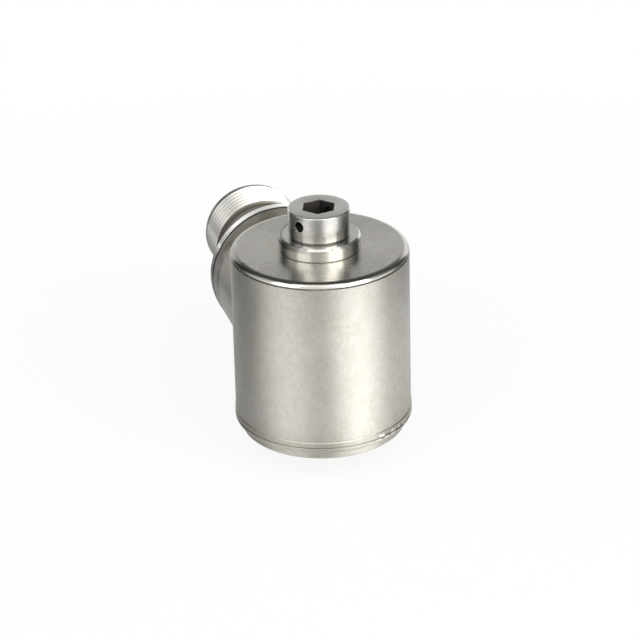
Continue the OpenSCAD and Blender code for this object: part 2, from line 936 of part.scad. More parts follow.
base();
case_shell();
top_boss();
captive_screw();
retaining_ring();
side_neck();
connector_shell();
glass_seal();
contact_pin_a();
contact_pin_b();
lower_insulator();
insulating_sleeve();
element_post();
piezo_ring();
seismic_mass();
upper_insulator();
clamp_nut();
shield_can();
shield_lid();
board_spacers();
board_screws();
circuit_board();
amplifier_chip();
tantalum_capacitors();
chip_resistors();
regulator_diode();
filter_board();
filter_capacitors();
surge_diode();
element_wire();
signal_wire();
common_wire();
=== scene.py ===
"""Dresses the packed vibration sensor: threads, captive screw, weld beads, metal finishes and the stage."""

import math

import bmesh
import bpy
from mathutils import Matrix, Vector


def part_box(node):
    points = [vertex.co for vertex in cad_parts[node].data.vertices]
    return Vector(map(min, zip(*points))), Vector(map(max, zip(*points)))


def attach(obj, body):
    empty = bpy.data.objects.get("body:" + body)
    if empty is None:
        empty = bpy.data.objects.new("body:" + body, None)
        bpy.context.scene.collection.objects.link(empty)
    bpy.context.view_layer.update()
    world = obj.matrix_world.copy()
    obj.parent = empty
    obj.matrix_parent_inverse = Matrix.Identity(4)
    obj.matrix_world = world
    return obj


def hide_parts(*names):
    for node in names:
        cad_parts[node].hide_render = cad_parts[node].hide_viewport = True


bl_info = {
    "name": "Vibration Sensor",
    "version": (1, 0, 0),
    "blender": (4, 5, 0),
    "location": "3D View > Sidebar > Sensor",
    "description": "Threads, screw, weld beads, finishes and stage for a side-entry vibration sensor",
    "category": "Object",
}

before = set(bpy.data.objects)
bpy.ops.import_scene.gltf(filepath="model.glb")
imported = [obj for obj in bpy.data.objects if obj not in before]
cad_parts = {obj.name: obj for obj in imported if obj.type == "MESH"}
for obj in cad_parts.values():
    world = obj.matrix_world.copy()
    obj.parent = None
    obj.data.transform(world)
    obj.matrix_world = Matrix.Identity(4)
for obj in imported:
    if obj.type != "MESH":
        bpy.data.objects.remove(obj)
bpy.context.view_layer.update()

MM = 0.001

# Sizes that the solids give, in metres
SHELL_LOW, SHELL_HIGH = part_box("connector_shell")
SCREW_LOW, SCREW_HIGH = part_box("captive_screw")
CASE_LOW, CASE_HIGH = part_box("case_shell")
BOSS_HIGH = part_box("top_boss")[1]
CONNECTOR_Z = (SHELL_LOW.z + SHELL_HIGH.z) / 2
FLANGE_R = SHELL_HIGH.x
MOUTH_Y = SHELL_HIGH.y
SPIGOT_Y = SHELL_LOW.y
CASE_TOP = CASE_HIGH.z
BOSS_TOP = BOSS_HIGH.z
HEAD_TOP = SCREW_HIGH.z
STUD_END = SCREW_LOW.z

# Sizes of the construction that the solids' boxes don't give
CASE_R, NECK_R = 13.8 * MM, 11.2 * MM
THREAD_R, RELIEF_R, SOCKET_R = 7.9375 * MM, 7.1975 * MM, 6.4475 * MM
THREAD_Y = MOUTH_Y - 8.7 * MM
RELIEF_Y = THREAD_Y - 3.3 * MM
BARREL_Y = RELIEF_Y - 4.6 * MM
FLANGE_Y = BARREL_Y - 1.5 * MM
LINE_Y = FLANGE_Y - 0.25 * MM
NECK_END_Y = LINE_Y - 3.25 * MM
FOOT_GROOVE_Z, CASE_SEAM_Z, CASE_LIP_Z = 1.2 * MM, 2.4 * MM, 2.9 * MM
SHANK_R, WAIST_R, HEAD_R = 3.175 * MM, 2.6 * MM, 4.75 * MM
WIRE_HOLE_R, WIRE_HOLE_Z = 0.8 * MM, HEAD_TOP - 1.7 * MM

# Angles round the screw
WIRE_HOLE_TURN = math.radians(34.4)
SOCKET_TURN = math.radians(10.3)
WELD_RESTART_TURN = math.radians(-54.5)
# Turn of the side where the case rim and the boss edge get painted shade
SHADED_SIDE_TURN = math.radians(164)

# Doubles closer than MERGE are merged, and a face whose normal leans sideways by less than LEAN is a turned one
MERGE, LEAN = 0.0005 * MM, 0.06
SHARP_ANGLE = math.radians(32)
# Steps of a rounded edge, and rows of a thread to its turn
EDGE_STEPS, THREAD_STEPS = 4, 16

# Thread form, by the share of a pitch from its crest's middle: where the flank starts, and how fast it deepens
HALF_CREST, FLANK_RISE = 1 / 16, 3.2

# Materials by name, as the finishes make them
FINISHES = {}


# ---- Settings that a user would change


class ThreadSizes(bpy.types.PropertyGroup):
    """Sizes of the two outside threads."""

    connector_pitch: bpy.props.FloatProperty(
        name="Connector pitch", description="Pitch of the connector's thread",
        default=1.058 * MM, min=0.5 * MM, max=2 * MM, subtype="DISTANCE", unit="LENGTH", precision=5)
    connector_depth: bpy.props.FloatProperty(
        name="Connector depth", description="Depth of the connector's thread",
        default=0.573 * MM, min=0.1 * MM, max=0.7 * MM, subtype="DISTANCE", unit="LENGTH", precision=5)
    stud_pitch: bpy.props.FloatProperty(
        name="Stud pitch", description="Pitch of the mounting screw's thread",
        default=0.907 * MM, min=0.4 * MM, max=1.5 * MM, subtype="DISTANCE", unit="LENGTH", precision=5)
    stud_depth: bpy.props.FloatProperty(
        name="Stud depth", description="Depth of the mounting screw's thread",
        default=0.49 * MM, min=0.1 * MM, max=0.55 * MM, subtype="DISTANCE", unit="LENGTH", precision=5)


class TurningSizes(bpy.types.PropertyGroup):
    """Edges of the turned pieces and how finely they are turned."""

    columns: bpy.props.IntProperty(
        name="Columns", description="Faces round a turned piece", default=144, min=48, max=256)
    edge: bpy.props.FloatProperty(
        name="Broken edge", description="Rounding of a turned piece's edges",
        default=0.06 * MM, min=0.01 * MM, max=0.2 * MM, subtype="DISTANCE", unit="LENGTH", precision=5)


class WeldSizes(bpy.types.PropertyGroup):
    """Sizes of the weld beads."""

    saddle_bead: bpy.props.FloatProperty(
        name="Saddle bead", description="Radius of the bead where the neck meets the case",
        default=0.3 * MM, min=0.1 * MM, max=0.6 * MM, subtype="DISTANCE", unit="LENGTH", precision=5)
    joint_bead: bpy.props.FloatProperty(
        name="Joint bead", description="Radius of the flush bead between neck and connector shell",
        default=0.2 * MM, min=0.1 * MM, max=0.3 * MM, subtype="DISTANCE", unit="LENGTH", precision=5)
    ripples: bpy.props.IntProperty(
        name="Ripples", description="Ripples round a bead", default=190, min=40, max=400)
    ripple_depth: bpy.props.FloatProperty(
        name="Ripple depth", description="Share of the bead's radius that a ripple takes",
        default=0.12, min=0.0, max=0.3, subtype="FACTOR")


class FinishColours(bpy.types.PropertyGroup):
    """Colours of the finishes that are seen."""

    case_steel: bpy.props.FloatVectorProperty(
        name="Case steel", description="Satin stainless steel of the case",
        default=(0.60, 0.585, 0.535), min=0, max=1, subtype="COLOR")
    turned_steel: bpy.props.FloatVectorProperty(
        name="Turned steel", description="Turned and polished stainless steel",
        default=(0.66, 0.65, 0.615), min=0, max=1, subtype="COLOR")
    heat_tint: bpy.props.FloatVectorProperty(
        name="Heat tint", description="Straw tint that the welding leaves on the neck",
        default=(0.37, 0.325, 0.24), min=0, max=1, subtype="COLOR")
    gold: bpy.props.FloatVectorProperty(
        name="Gold", description="Gold plating of the contact pins",
        default=(0.86, 0.62, 0.26), min=0, max=1, subtype="COLOR")
    seal_glass: bpy.props.FloatVectorProperty(
        name="Seal glass", description="Fused glass round the contact pins",
        default=(0.035, 0.085, 0.07), min=0, max=1, subtype="COLOR")


class StageSizes(bpy.types.PropertyGroup):
    """Camera and light."""

    azimuth: bpy.props.FloatProperty(
        name="Azimuth", description="Camera azimuth; the connector points away at zero",
        default=math.radians(-15.57), subtype="ANGLE")
    elevation: bpy.props.FloatProperty(
        name="Elevation", description="Camera elevation", default=math.radians(26.373), subtype="ANGLE")
    roll: bpy.props.FloatProperty(
        name="Roll", description="Camera roll", default=math.radians(-1.429), subtype="ANGLE")
    distance: bpy.props.FloatProperty(
        name="Distance", description="From the camera to the screw's axis",
        default=0.4370, subtype="DISTANCE", unit="LENGTH")
    lens: bpy.props.FloatProperty(
        name="Lens", description="Focal length in millimetres on a 36 mm sensor", default=158.06)
    right_lamp: bpy.props.FloatProperty(
        name="Right lamp", description="Brightness of the softbox on the right", default=3.0, min=0)
    left_lamp: bpy.props.FloatProperty(
        name="Left lamp", description="Brightness of the softbox on the left", default=1.6, min=0)
    top_lamp: bpy.props.FloatProperty(
        name="Top lamp", description="Brightness of the softbox above", default=1.4, min=0)


SETTINGS = {
    "sensor_threads": ThreadSizes,
    "sensor_turning": TurningSizes,
    "sensor_welds": WeldSizes,
    "sensor_colours": FinishColours,
    "sensor_stage": StageSizes,
}


# ---- Node trees


def adds_node(operation, reflected=False):
    """An operator of Reading that adds a Math node. Its reflected form has the other value first."""
    def operator(self, other):
        values = (other, self) if reflected else (self, other)
        return self.sheet.maths(operation, *values)
    return operator


class Reading:
    """A node's output socket. Arithmetic on readings adds Math nodes to their tree."""

    def __init__(self, sheet, socket):
        self.sheet = sheet
        self.socket = socket

    def maths(self, operation, *others, clamp=False):
        return self.sheet.maths(operation, self, *others, clamp=clamp)

    __add__, __radd__ = adds_node("ADD"), adds_node("ADD", True)
    __sub__, __rsub__ = adds_node("SUBTRACT"), adds_node("SUBTRACT", True)
    __mul__, __rmul__ = adds_node("MULTIPLY"), adds_node("MULTIPLY", True)
    __truediv__, __rtruediv__ = adds_node("DIVIDE"), adds_node("DIVIDE", True)
    __pow__, __rpow__ = adds_node("POWER"), adds_node("POWER", True)
    at_most, at_least = adds_node("MINIMUM"), adds_node("MAXIMUM")

    def above(self, edge, width):
        """0 below the edge, 1 above it, with a soft step of the given width."""
        return ((self - (edge - width / 2)) / width).maths("ADD", 0.0, clamp=True)

    def below(self, edge, width):
        """1 below the edge, 0 above it, with a soft step of the given width."""
        return 1 - self.above(edge, width)

    def band(self, middle, half, width):
        """1 within half of the middle, 0 outside, with soft steps of the given width."""
        return (self - middle).maths("ABSOLUTE").below(half, width)

    def towards(self, turn):
        """For an angle round an axis: 1 at the given turn, 0 a quarter turn away."""
        return (self - turn).maths("COSINE")


class Sheet:
    """A node tree that is filled in by one method."""

    def __init__(self, tree):
        self.tree = tree

    def node(self, kind, inputs=None, output=0, **settings):
        """Adds a node, sets its settings, gives its sockets values or links, and returns one output."""
        made = self.tree.nodes.new(kind)
        for key, value in settings.items():
            if key == "stops":
                self.set_stops(made.color_ramp, value)
            else:
                setattr(made, key, value)
        for key, value in (inputs or {}).items():
            socket = made.inputs[key]
            if isinstance(value, Reading):
                self.tree.links.new(value.socket, socket)
            else:
                socket.default_value = value
        return Reading(self, made.outputs[output]) if len(made.outputs) else made

    @staticmethod
    def set_stops(ramp, stops):
        for spare in list(ramp.elements)[1:]:
            ramp.elements.remove(spare)
        ramp.elements[0].position, ramp.elements[0].color = stops[0]
        for place, colour in stops[1:]:
            ramp.elements.new(place).color = colour

    def end(self, kind, reading):
        """Adds the tree's output node behind a reading."""
        self.node(kind, {0: reading})

    def maths(self, operation, *values, clamp=False):
        return self.node("ShaderNodeMath", dict(enumerate(values)), operation=operation, use_clamp=clamp)

    def other_output(self, reading, name):
        """Another output of the node that a reading comes from."""
        return Reading(self, reading.socket.node.outputs[name])

    def parts(self, vector):
        """The three parts of a vector."""
        x = self.node("ShaderNodeSeparateXYZ", {0: vector})
        return x, self.other_output(x, "Y"), self.other_output(x, "Z")

    def combine(self, x, y, z):
        return self.node("ShaderNodeCombineXYZ", {0: x, 1: y, 2: z})

    def blend(self, factor, low, high):
        """Colour between low and high, which are readings or (red, green, blue)."""
        low, high = (colour if isinstance(colour, Reading) else (*colour, 1.0) for colour in (low, high))
        return self.node("ShaderNodeMix", {0: factor, 6: low, 7: high}, 2, data_type="RGBA")

    def coats(self, shade, *coats):
        """Lays coats on a shade in their order, each a share and a colour."""
        for share, colour in coats:
            shade = self.blend(share, shade, colour)
        return shade


def emptied_tree(owner):
    """The emptied node tree of a new material or world."""
    owner.use_nodes = True
    owner.node_tree.nodes.clear()
    return owner.node_tree


class Finish(Sheet):
    """A new material with one Principled shader, kept in FINISHES by its name."""

    def __init__(self, name, **fixed):
        FINISHES[name] = bpy.data.materials.new(name)
        super().__init__(emptied_tree(FINISHES[name]))
        self.shader = self.node("ShaderNodeBsdfPrincipled")
        self.output = self.node("ShaderNodeOutputMaterial", {0: self.shader})
        self.place = self.node("ShaderNodeTexCoord", output="Object")
        for key, value in fixed.items():
            socket = key.upper() if key == "ior" else key.replace("_", " ").title()
            self.shader.socket.node.inputs[socket].default_value = value

    def feed(self, socket, reading):
        self.tree.links.new(reading.socket, self.shader.socket.node.inputs[socket])

    def done(self, shade, roughness, height, depth, strength):
        """Feeds the shader its colour, its roughness and a bump of the given depth and strength."""
        self.feed("Base Color", shade)
        self.feed("Roughness", roughness)
        self.feed("Normal", self.node(
            "ShaderNodeBump", {"Strength": strength, "Distance": depth, "Height": height}))

    def paint_shade(self, share, shade):
        """Covers a share of the metal with a matt coat of painted shade."""
        matt_shade = self.node("ShaderNodeBsdfDiffuse", {"Color": shade})
        covered = self.node("ShaderNodeMixShader", {0: share, 1: self.shader, 2: matt_shade})
        self.tree.links.new(covered.socket, self.output.inputs[0])

    def noise(self, scale, detail=2.0, roughness=0.5, place=None):
        return self.node("ShaderNodeTexNoise", {
            "Vector": place or self.place, "Scale": scale, "Detail": detail, "Roughness": roughness})

    def dots(self, scale, size, width):
        """Spots of a size, as a share of their spacing, with soft edges of a width."""
        cells = self.node("ShaderNodeTexVoronoi", {"Vector": self.place, "Scale": scale}, "Distance")
        return cells.below(size, width)

    def axes(self, axis="Z"):
        """Radius, way along and angle of a turned piece's surface, round Z or round the connector's axis."""
        x, y, z = self.parts(self.place)
        if axis == "Y":
            y, z = z - CONNECTOR_Z, y
        return (x * x + y * y).maths("SQRT"), z, y.maths("ARCTAN2", x)

    def streaks(self, axes, across, along, around, detail=2.0):
        """Noise that is drawn out round an axis, by its scales across, along and around it."""
        radius, way, angle = axes
        return self.noise(1.0, detail, place=self.combine(radius * across, way * along, angle * around))

    def facing_up(self):
        """1 on faces that lie level and look up, as turned tops do."""
        normal = self.node("ShaderNodeNewGeometry", output="True Normal")
        return self.parts(normal)[2].above(0.97, 0.04)


def vary(middle, *swings):
    """A value that noises of 0 to 1 swing about its middle, each by its own span."""
    for noise, span in swings:
        middle = (noise - 0.5) * span + middle
    return middle


def scaled(colour, share):
    return tuple(c * share for c in colour)


def shift(colour, towards, share):
    return tuple(c + (t - c) * share for c, t in zip(colour, towards))


# ---- Finishes


def satin_case_steel(colours):
    """Blasted stainless steel: satin side, finer flat top, polished rim, and a foot with its weld seam."""
    colour = tuple(colours.case_steel)
    finish = Finish("satin_case_steel", metallic=1.0, anisotropic=0.55, anisotropic_rotation=0.25)
    axes = finish.axes()
    _, height, angle = axes
    cloud, patch = finish.noise(190.0, 3.0), finish.noise(620.0)
    grain, speckle = finish.noise(5200.0, 2.0, 0.6), finish.noise(2300.0, 2.0, 0.6)
    pits = finish.noise(1700.0, 3.0, 0.7)
    turned = finish.streaks(axes, 9000.0, 9000.0, 0.6)
    top = finish.facing_up()
    rim = height.above(CASE_TOP - 1.02 * MM, 0.1 * MM) * (1 - top)
    # Painted shade: the case rim is darker on this side
    shaded_side = angle.towards(SHADED_SIDE_TURN).above(0.7, 0.5)
    foot = height.below(CASE_LOW.z + 1.6 * MM, 3.4 * MM)
    lip = height.band(CASE_LIP_Z, 0.5 * MM, 0.5 * MM)
    seam = height.band(CASE_SEAM_Z, 0.07 * MM, 0.05 * MM)
    groove = height.band(FOOT_GROOVE_Z, 0.12 * MM, 0.04 * MM)
    restart = height.band(CASE_SEAM_Z + 0.05 * MM, 0.4 * MM, 0.3 * MM)
    restart = restart * angle.towards(WELD_RESTART_TURN).above(0.966, 0.03)
    tan = shift(colour, (0.46, 0.41, 0.31), 0.45)
    shade = finish.coats(
        finish.blend(cloud, scaled(colour, 0.89), scaled(colour, 1.09)),
        (patch.above(0.54, 0.26) * 0.5, tan),
        (grain.below(0.42, 0.2) * 0.2, scaled(colour, 0.55)),
        (speckle.below(0.42, 0.3) * 0.22, scaled(colour, 0.5)),
        (foot * (0.15 + patch * 0.6), scaled(tan, 0.78)),
        # Painted shade: level tops are darker
        (top * 0.28, scaled(colour, 0.1)),
        (lip * patch * 0.45, (0.36, 0.32, 0.24)),
        (restart * pits.above(0.54, 0.1) * 0.75, (0.16, 0.15, 0.12)),
        (restart * pits.below(0.46, 0.06), (0.95, 0.94, 0.91)),
        (seam.at_least(groove) * 0.85, (0.10, 0.09, 0.075)),
        # Painted shade on the rim's shaded side
        (rim, finish.blend(shaded_side, scaled(colour, 0.86), scaled(colour, 0.45))))
    side = vary(0.40, (cloud, 0.14), (patch, 0.10), (turned, 0.06))
    gloss = side * (1 - top) + vary(0.27, (patch, 0.08), (turned, 0.05)) * top
    height_map = (grain * 0.6 + speckle * 0.7 * (1 - top * 0.7) + turned * 0.4) * (1 - rim)
    finish.done(shade, gloss * (1 - rim) + 0.13 * rim, height_map, 0.014 * MM, 0.45)


def boss_tones(finish, axes, shade, roughness):
    """Paints shade on the boss's edge on one side, and makes that edge rougher."""
    radius, height, angle = axes
    edge = radius.above(BOSS_HIGH.x - 0.6 * MM, 0.1 * MM) * height.above(BOSS_TOP - 0.8 * MM, 0.1 * MM)
    # Painted shade on one side of the edge
    edge = edge * angle.towards(SHADED_SIDE_TURN).above(0.5, 0.6)
    return finish.blend(edge * 0.85, shade, (0.16, 0.155, 0.15)), roughness + edge * 0.1


def screw_tones(finish, axes, shade, roughness):
    """Paints shade into the screw's hex socket and lock-wire hole: their insides are darkened and made rougher.
    """
    radius, height, angle = axes
    socket = radius.below(2.8 * MM, 0.02 * MM) * height.below(HEAD_TOP - 0.1 * MM, 0.04 * MM)
    across, rise = radius * (angle - WIRE_HOLE_TURN).maths("SINE"), height - WIRE_HOLE_Z
    hole = (across * across + rise * rise).maths("SQRT").below(WIRE_HOLE_R + 0.06 * MM, 0.03 * MM)
    hole = hole * radius.below(HEAD_R - 0.02 * MM, 0.02 * MM)
    # Painted shade inside the socket and the hole
    inside = socket.at_least(hole) * height.above(BOSS_TOP + 0.5 * MM, 0.1 * MM)
    return finish.blend(inside, shade, (0.05, 0.045, 0.042)), roughness + inside * 0.3


def connector_tones(finish, axes, shade, roughness):
    """Tints the connector: straw base ring with dark stains, painted highlight and shade on the flange rim, and
    painted shade on the groove line, relief, thread roots and mouth edge.
    """
    radius, along, angle = axes
    rise = angle.maths("SINE")
    cloud = finish.noise(420.0, 3.0)
    patches = finish.streaks(axes, 300.0, 300.0, 2.6, 3.0)
    streaks = finish.streaks(axes, 2400.0, 5200.0, 2.2)
    straw = finish.blend(streaks.above(0.5, 0.34), (0.14, 0.128, 0.085), (0.30, 0.275, 0.225))
    outside = radius.above(6.9 * MM, 0.1 * MM)
    rim = along.band((BARREL_Y + FLANGE_Y) / 2, 0.72 * MM, 0.04 * MM)
    rim = rim * radius.above(FLANGE_R - 0.2 * MM, 0.1 * MM)
    # Painted shade on the rim below its upper side
    rim_shade = rise.below(0.4, 0.14) * (0.5 + rise.above(-0.05, 0.2) * 0.4)
    line = along.band((FLANGE_Y + LINE_Y) / 2, 0.32 * MM, 0.06 * MM)
    ring = along.below(LINE_Y + 0.05 * MM, 0.1 * MM)
    relief = along.above(THREAD_Y - 1.2 * MM, 0.6 * MM) * along.below(THREAD_Y + MM, 0.6 * MM) * outside
    wall = along.above(THREAD_Y, 0.16 * MM)
    thread = along.above(THREAD_Y, 0.1 * MM) * outside
    roots = radius.below(THREAD_R - 0.26 * MM, 0.3 * MM)
    roots = roots * along.above(THREAD_Y + 0.3 * MM, 0.4 * MM) * outside
    mouth = along.above(MOUTH_Y - 0.75 * MM, 0.1 * MM) * outside
    # Painted shade: a matt coat on the relief, dark next to the thread and paler towards the flange
    finish.paint_shade(relief * (0.5 + wall * 0.25),
                 finish.blend(wall, (0.52, 0.49, 0.49), (0.085, 0.074, 0.056)))
    shade = finish.coats(
        shade,
        (thread * 0.42, (0.50, 0.49, 0.45)),
        (ring * (0.72 + cloud * 0.28), straw),
        (ring * patches.above(0.5, 0.2) * 0.6, (0.09, 0.08, 0.05)),
        # Painted shade: the groove line is nearly black
        (line * 0.95, (0.03, 0.03, 0.028)),
        # Painted shade: the relief is darkened
        (relief * 0.97, (0.06, 0.052, 0.042)),
        # Painted shade in the thread roots
        (roots * 0.55, (0.2, 0.19, 0.16)),
        # Painted shade on the mouth's edge, darker on its upper side
        (mouth * (0.4 + rise.above(0.45, 0.6) * 0.55), (0.05, 0.05, 0.045)),
        # Painted highlight on the rim's upper side, then painted shade below it
        (rim * (0.2 + rise.above(0.42, 0.14) * 0.7), (0.95, 0.94, 0.91)),
        (rim * rim_shade, (0.13, 0.125, 0.12)))
    return shade, roughness + relief * 0.22 + ring * 0.06 + thread * 0.08 - rim * 0.06


def turned_steel(name, colours, tones, axis="Z", anisotropic=0.75, lines=0.5):
    """Turned and polished stainless steel, with fine lines round its axis and a piece's own tones."""
    colour = tuple(colours.turned_steel)
    finish = Finish(name, metallic=1.0, anisotropic=anisotropic, anisotropic_rotation=0.25)
    axes = finish.axes(axis)
    fine = finish.streaks(axes, 16000.0, 16000.0, 0.5, 3.0)
    broad = finish.streaks(axes, 2600.0, 2600.0, 0.35)
    cloud = finish.noise(260.0, 3.0)
    shade = finish.coats(
        finish.blend(broad, scaled(colour, 0.9), scaled(colour, 1.07)),
        (cloud.above(0.6, 0.3) * 0.2, scaled(colour, 0.78)),
        # Painted shade: level tops, such as the boss's and the head's, are darker
        (finish.facing_up() * 0.42, scaled(colour, 0.1)))
    roughness = vary(0.2, (broad, 0.12), (fine, 0.10), (cloud, 0.06))
    shade, roughness = tones(finish, axes, shade, roughness)
    finish.done(shade, roughness, fine * 0.6 + broad * 0.4, 0.006 * MM, lines)


def tinted_neck_steel(colours):
    """Satin steel round the welds, with their straw and brown heat tint."""
    colour, tint = tuple(colours.case_steel), tuple(colours.heat_tint)
    finish = Finish("tinted_neck_steel", metallic=1.0, anisotropic=0.3)
    axes = finish.axes("Y")
    from_case = finish.axes()[0] - CASE_HIGH.x
    from_shell = (axes[1] - NECK_END_Y).maths("ABSOLUTE")
    cloud, grain = finish.noise(330.0, 3.0), finish.noise(4200.0, 2.0, 0.6)
    lines = finish.streaks(axes, 9000.0, 9000.0, 0.5, 3.0)
    wobble = (cloud - 0.5) * 2.4 * MM
    near = (from_case + wobble).below(2.6 * MM, 4.4 * MM)
    heat = near.at_least((from_shell + wobble * 0.6).below(1.5 * MM, 2.4 * MM) * 0.6)
    shade = finish.coats(
        finish.blend(cloud, scaled(colour, 0.92), scaled(colour, 1.06)),
        ((0.12 + cloud * 0.3).at_least(heat * 0.7), scaled(tint, 0.95)),
        (from_case.below(0.8 * MM, 1.3 * MM) * 0.5, shift(tint, (0.16, 0.15, 0.2), 0.5)),
        (grain.below(0.42, 0.2) * 0.14, scaled(colour, 0.5)))
    roughness = vary(0.33, (cloud, 0.12), (lines, 0.1)) + heat * 0.04
    finish.done(shade, roughness, grain * 0.5 + lines * 0.5, 0.010 * MM, 0.4)


def weld_bead_steel(colours):
    """Bright weld metal with brown edges to its ripples."""
    finish = Finish("weld_bead_steel", metallic=1.0)
    cloud, grain = finish.noise(900.0, 3.0), finish.noise(6000.0, 2.0, 0.6)
    steel, tint = scaled(colours.turned_steel, 0.9), scaled(colours.heat_tint, 0.9)
    shade = finish.blend(cloud.above(0.5, 0.4), steel, tint)
    finish.done(shade, vary(0.3, (cloud, 0.25)), grain * 0.5 + cloud * 0.5, 0.01 * MM, 0.4)


def plated_gold(colours):
    """Gold plating, a little rubbed along the pins."""
    finish = Finish("plated_gold", metallic=1.0)
    cloud, rub = finish.noise(700.0, 3.0), finish.noise(3800.0, 3.0, 0.6)
    shade = finish.coats(
        finish.blend(cloud, scaled(colours.gold, 0.9), scaled(colours.gold, 1.08)),
        (rub.above(0.62, 0.2) * 0.3, (0.72, 0.6, 0.38)))
    finish.done(shade, vary(0.2, (rub, 0.2)), rub, 0.004 * MM, 0.3)


def fused_glass(colours):
    """Dark fused glass with small bubbles and a coated gloss."""
    finish = Finish("fused_glass", coat_weight=0.6, coat_roughness=0.05, ior=1.5)
    cloud = finish.noise(420.0, 3.0)
    spots = finish.dots(1700.0, 0.16, 0.08)
    shade = finish.coats(
        finish.blend(cloud, scaled(colours.seal_glass, 0.8), scaled(colours.seal_glass, 1.3)),
        (spots * 0.5, (0.2, 0.3, 0.27)))
    finish.done(shade, vary(0.12, (cloud, 0.08)), cloud * 0.8 - spots * 0.3, 0.02 * MM, 0.3)


def plain_finish(name, colour, second, gloss, metallic=0.0):
    """Finish of an inside piece: two close shades in clouds, with a fine grain."""
    finish = Finish(name, metallic=metallic)
    cloud, grain = finish.noise(500.0, 3.0), finish.noise(4000.0, 2.0, 0.6)
    shade = finish.blend((cloud - 0.5) * 1.6 + grain * 0.3 + 0.35, colour, second)
    roughness = vary(gloss, (cloud, 0.12), (grain, 0.10))
    finish.done(shade, roughness, grain * 0.6 + cloud * 0.4, 0.01 * MM, 0.3)


def board_laminate():
    """Green solder mask with tracks under it and tinned pads."""
    finish = Finish("board_laminate", coat_weight=0.3, coat_roughness=0.2)
    tracks = finish.node("ShaderNodeTexBrick", {
        "Vector": finish.place, "Scale": 420.0, "Mortar Size": 0.06, "Mortar Smooth": 0.2}, 1, offset=0.5)
    cloud, pads = finish.noise(300.0), finish.dots(520.0, 0.16, 0.05)
    shade = finish.coats(
        finish.blend(cloud, (0.03, 0.16, 0.08), (0.05, 0.21, 0.10)),
        (tracks * 0.6, (0.09, 0.30, 0.15)),
        (pads, (0.72, 0.71, 0.66)))
    finish.done(shade, vary(0.42, (cloud, 0.1)) - pads * 0.15, tracks * 0.5 + pads, 0.02 * MM, 0.5)


# Two shades, roughness and metallic of the inside pieces' finishes
PLAIN_FINISHES = {
    "spring_steel": ((0.5, 0.5, 0.48), (0.38, 0.38, 0.37), 0.3, 1.0),
    "inner_turned_steel": ((0.56, 0.56, 0.55), (0.46, 0.46, 0.45), 0.3, 1.0),
    "brass_spacer": ((0.72, 0.55, 0.24), (0.6, 0.45, 0.2), 0.28, 1.0),
    "alumina": ((0.88, 0.87, 0.81), (0.8, 0.79, 0.73), 0.5),
    "sleeve_plastic": ((0.62, 0.36, 0.12), (0.54, 0.3, 0.09), 0.35),
    "piezo_ceramic": ((0.55, 0.47, 0.34), (0.47, 0.4, 0.29), 0.55),
    "heavy_alloy": ((0.42, 0.41, 0.4), (0.34, 0.33, 0.32), 0.4, 1.0),
    "tinned_brass": ((0.68, 0.67, 0.62), (0.58, 0.57, 0.53), 0.36, 1.0),
    "dark_moulding": ((0.03, 0.03, 0.032), (0.05, 0.05, 0.052), 0.5),
    "tantalum_moulding": ((0.75, 0.4, 0.06), (0.66, 0.34, 0.05), 0.4),
    "diode_glass": ((0.42, 0.09, 0.05), (0.34, 0.07, 0.04), 0.15),
    "capacitor_ceramic": ((0.5, 0.38, 0.22), (0.43, 0.32, 0.18), 0.5),
    "wire_white": ((0.82, 0.81, 0.76), (0.76, 0.75, 0.7), 0.4),
    "wire_dark": ((0.035, 0.035, 0.04), (0.055, 0.055, 0.06), 0.4),
}

NODE_FINISHES = {
    "satin_case_steel": ("case_shell", "base"),
    "tinted_neck_steel": ("side_neck",),
    "turned_boss_steel": ("top_boss",),
    "turned_screw_steel": ("captive_screw",),
    "turned_connector_steel": ("connector_shell",),
    "spring_steel": ("retaining_ring",),
    "inner_turned_steel": ("element_post", "clamp_nut", "board_screws"),
    "fused_glass": ("glass_seal",),
    "plated_gold": ("contact_pin_a", "contact_pin_b"),
    "brass_spacer": ("board_spacers",),
    "alumina": ("lower_insulator", "upper_insulator"),
    "sleeve_plastic": ("insulating_sleeve",),
    "piezo_ceramic": ("piezo_ring",),
    "heavy_alloy": ("seismic_mass",),
    "tinned_brass": ("shield_can", "shield_lid"),
    "board_laminate": ("circuit_board", "filter_board"),
    "dark_moulding": ("amplifier_chip", "surge_diode", "chip_resistors"),
    "tantalum_moulding": ("tantalum_capacitors",),
    "diode_glass": ("regulator_diode",),
    "capacitor_ceramic": ("filter_capacitors",),
    "wire_white": ("element_wire", "signal_wire"),
    "wire_dark": ("common_wire",),
}


class SENSOR_OT_finishes(bpy.types.Operator):
    """Makes every finish and gives each solid its own"""

    bl_idname = "sensor.finishes"
    bl_label = "Make Finishes"

    def execute(self, context):
        colours = context.scene.sensor_colours
        for make in (satin_case_steel, tinted_neck_steel, weld_bead_steel, plated_gold, fused_glass):
            make(colours)
        turned_steel("turned_boss_steel", colours, boss_tones)
        turned_steel("turned_screw_steel", colours, screw_tones)
        turned_steel("turned_connector_steel", colours, connector_tones, "Y", 0.0, 0.4)
        board_laminate()
        for name, look in PLAIN_FINISHES.items():
            plain_finish(name, *look)
        for finish, nodes in NODE_FINISHES.items():
            for node in nodes:
                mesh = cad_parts[node].data
                mesh.materials.clear()
                mesh.materials.append(FINISHES[finish])
        return {"FINISHED"}


# ---- Meshes of turned pieces


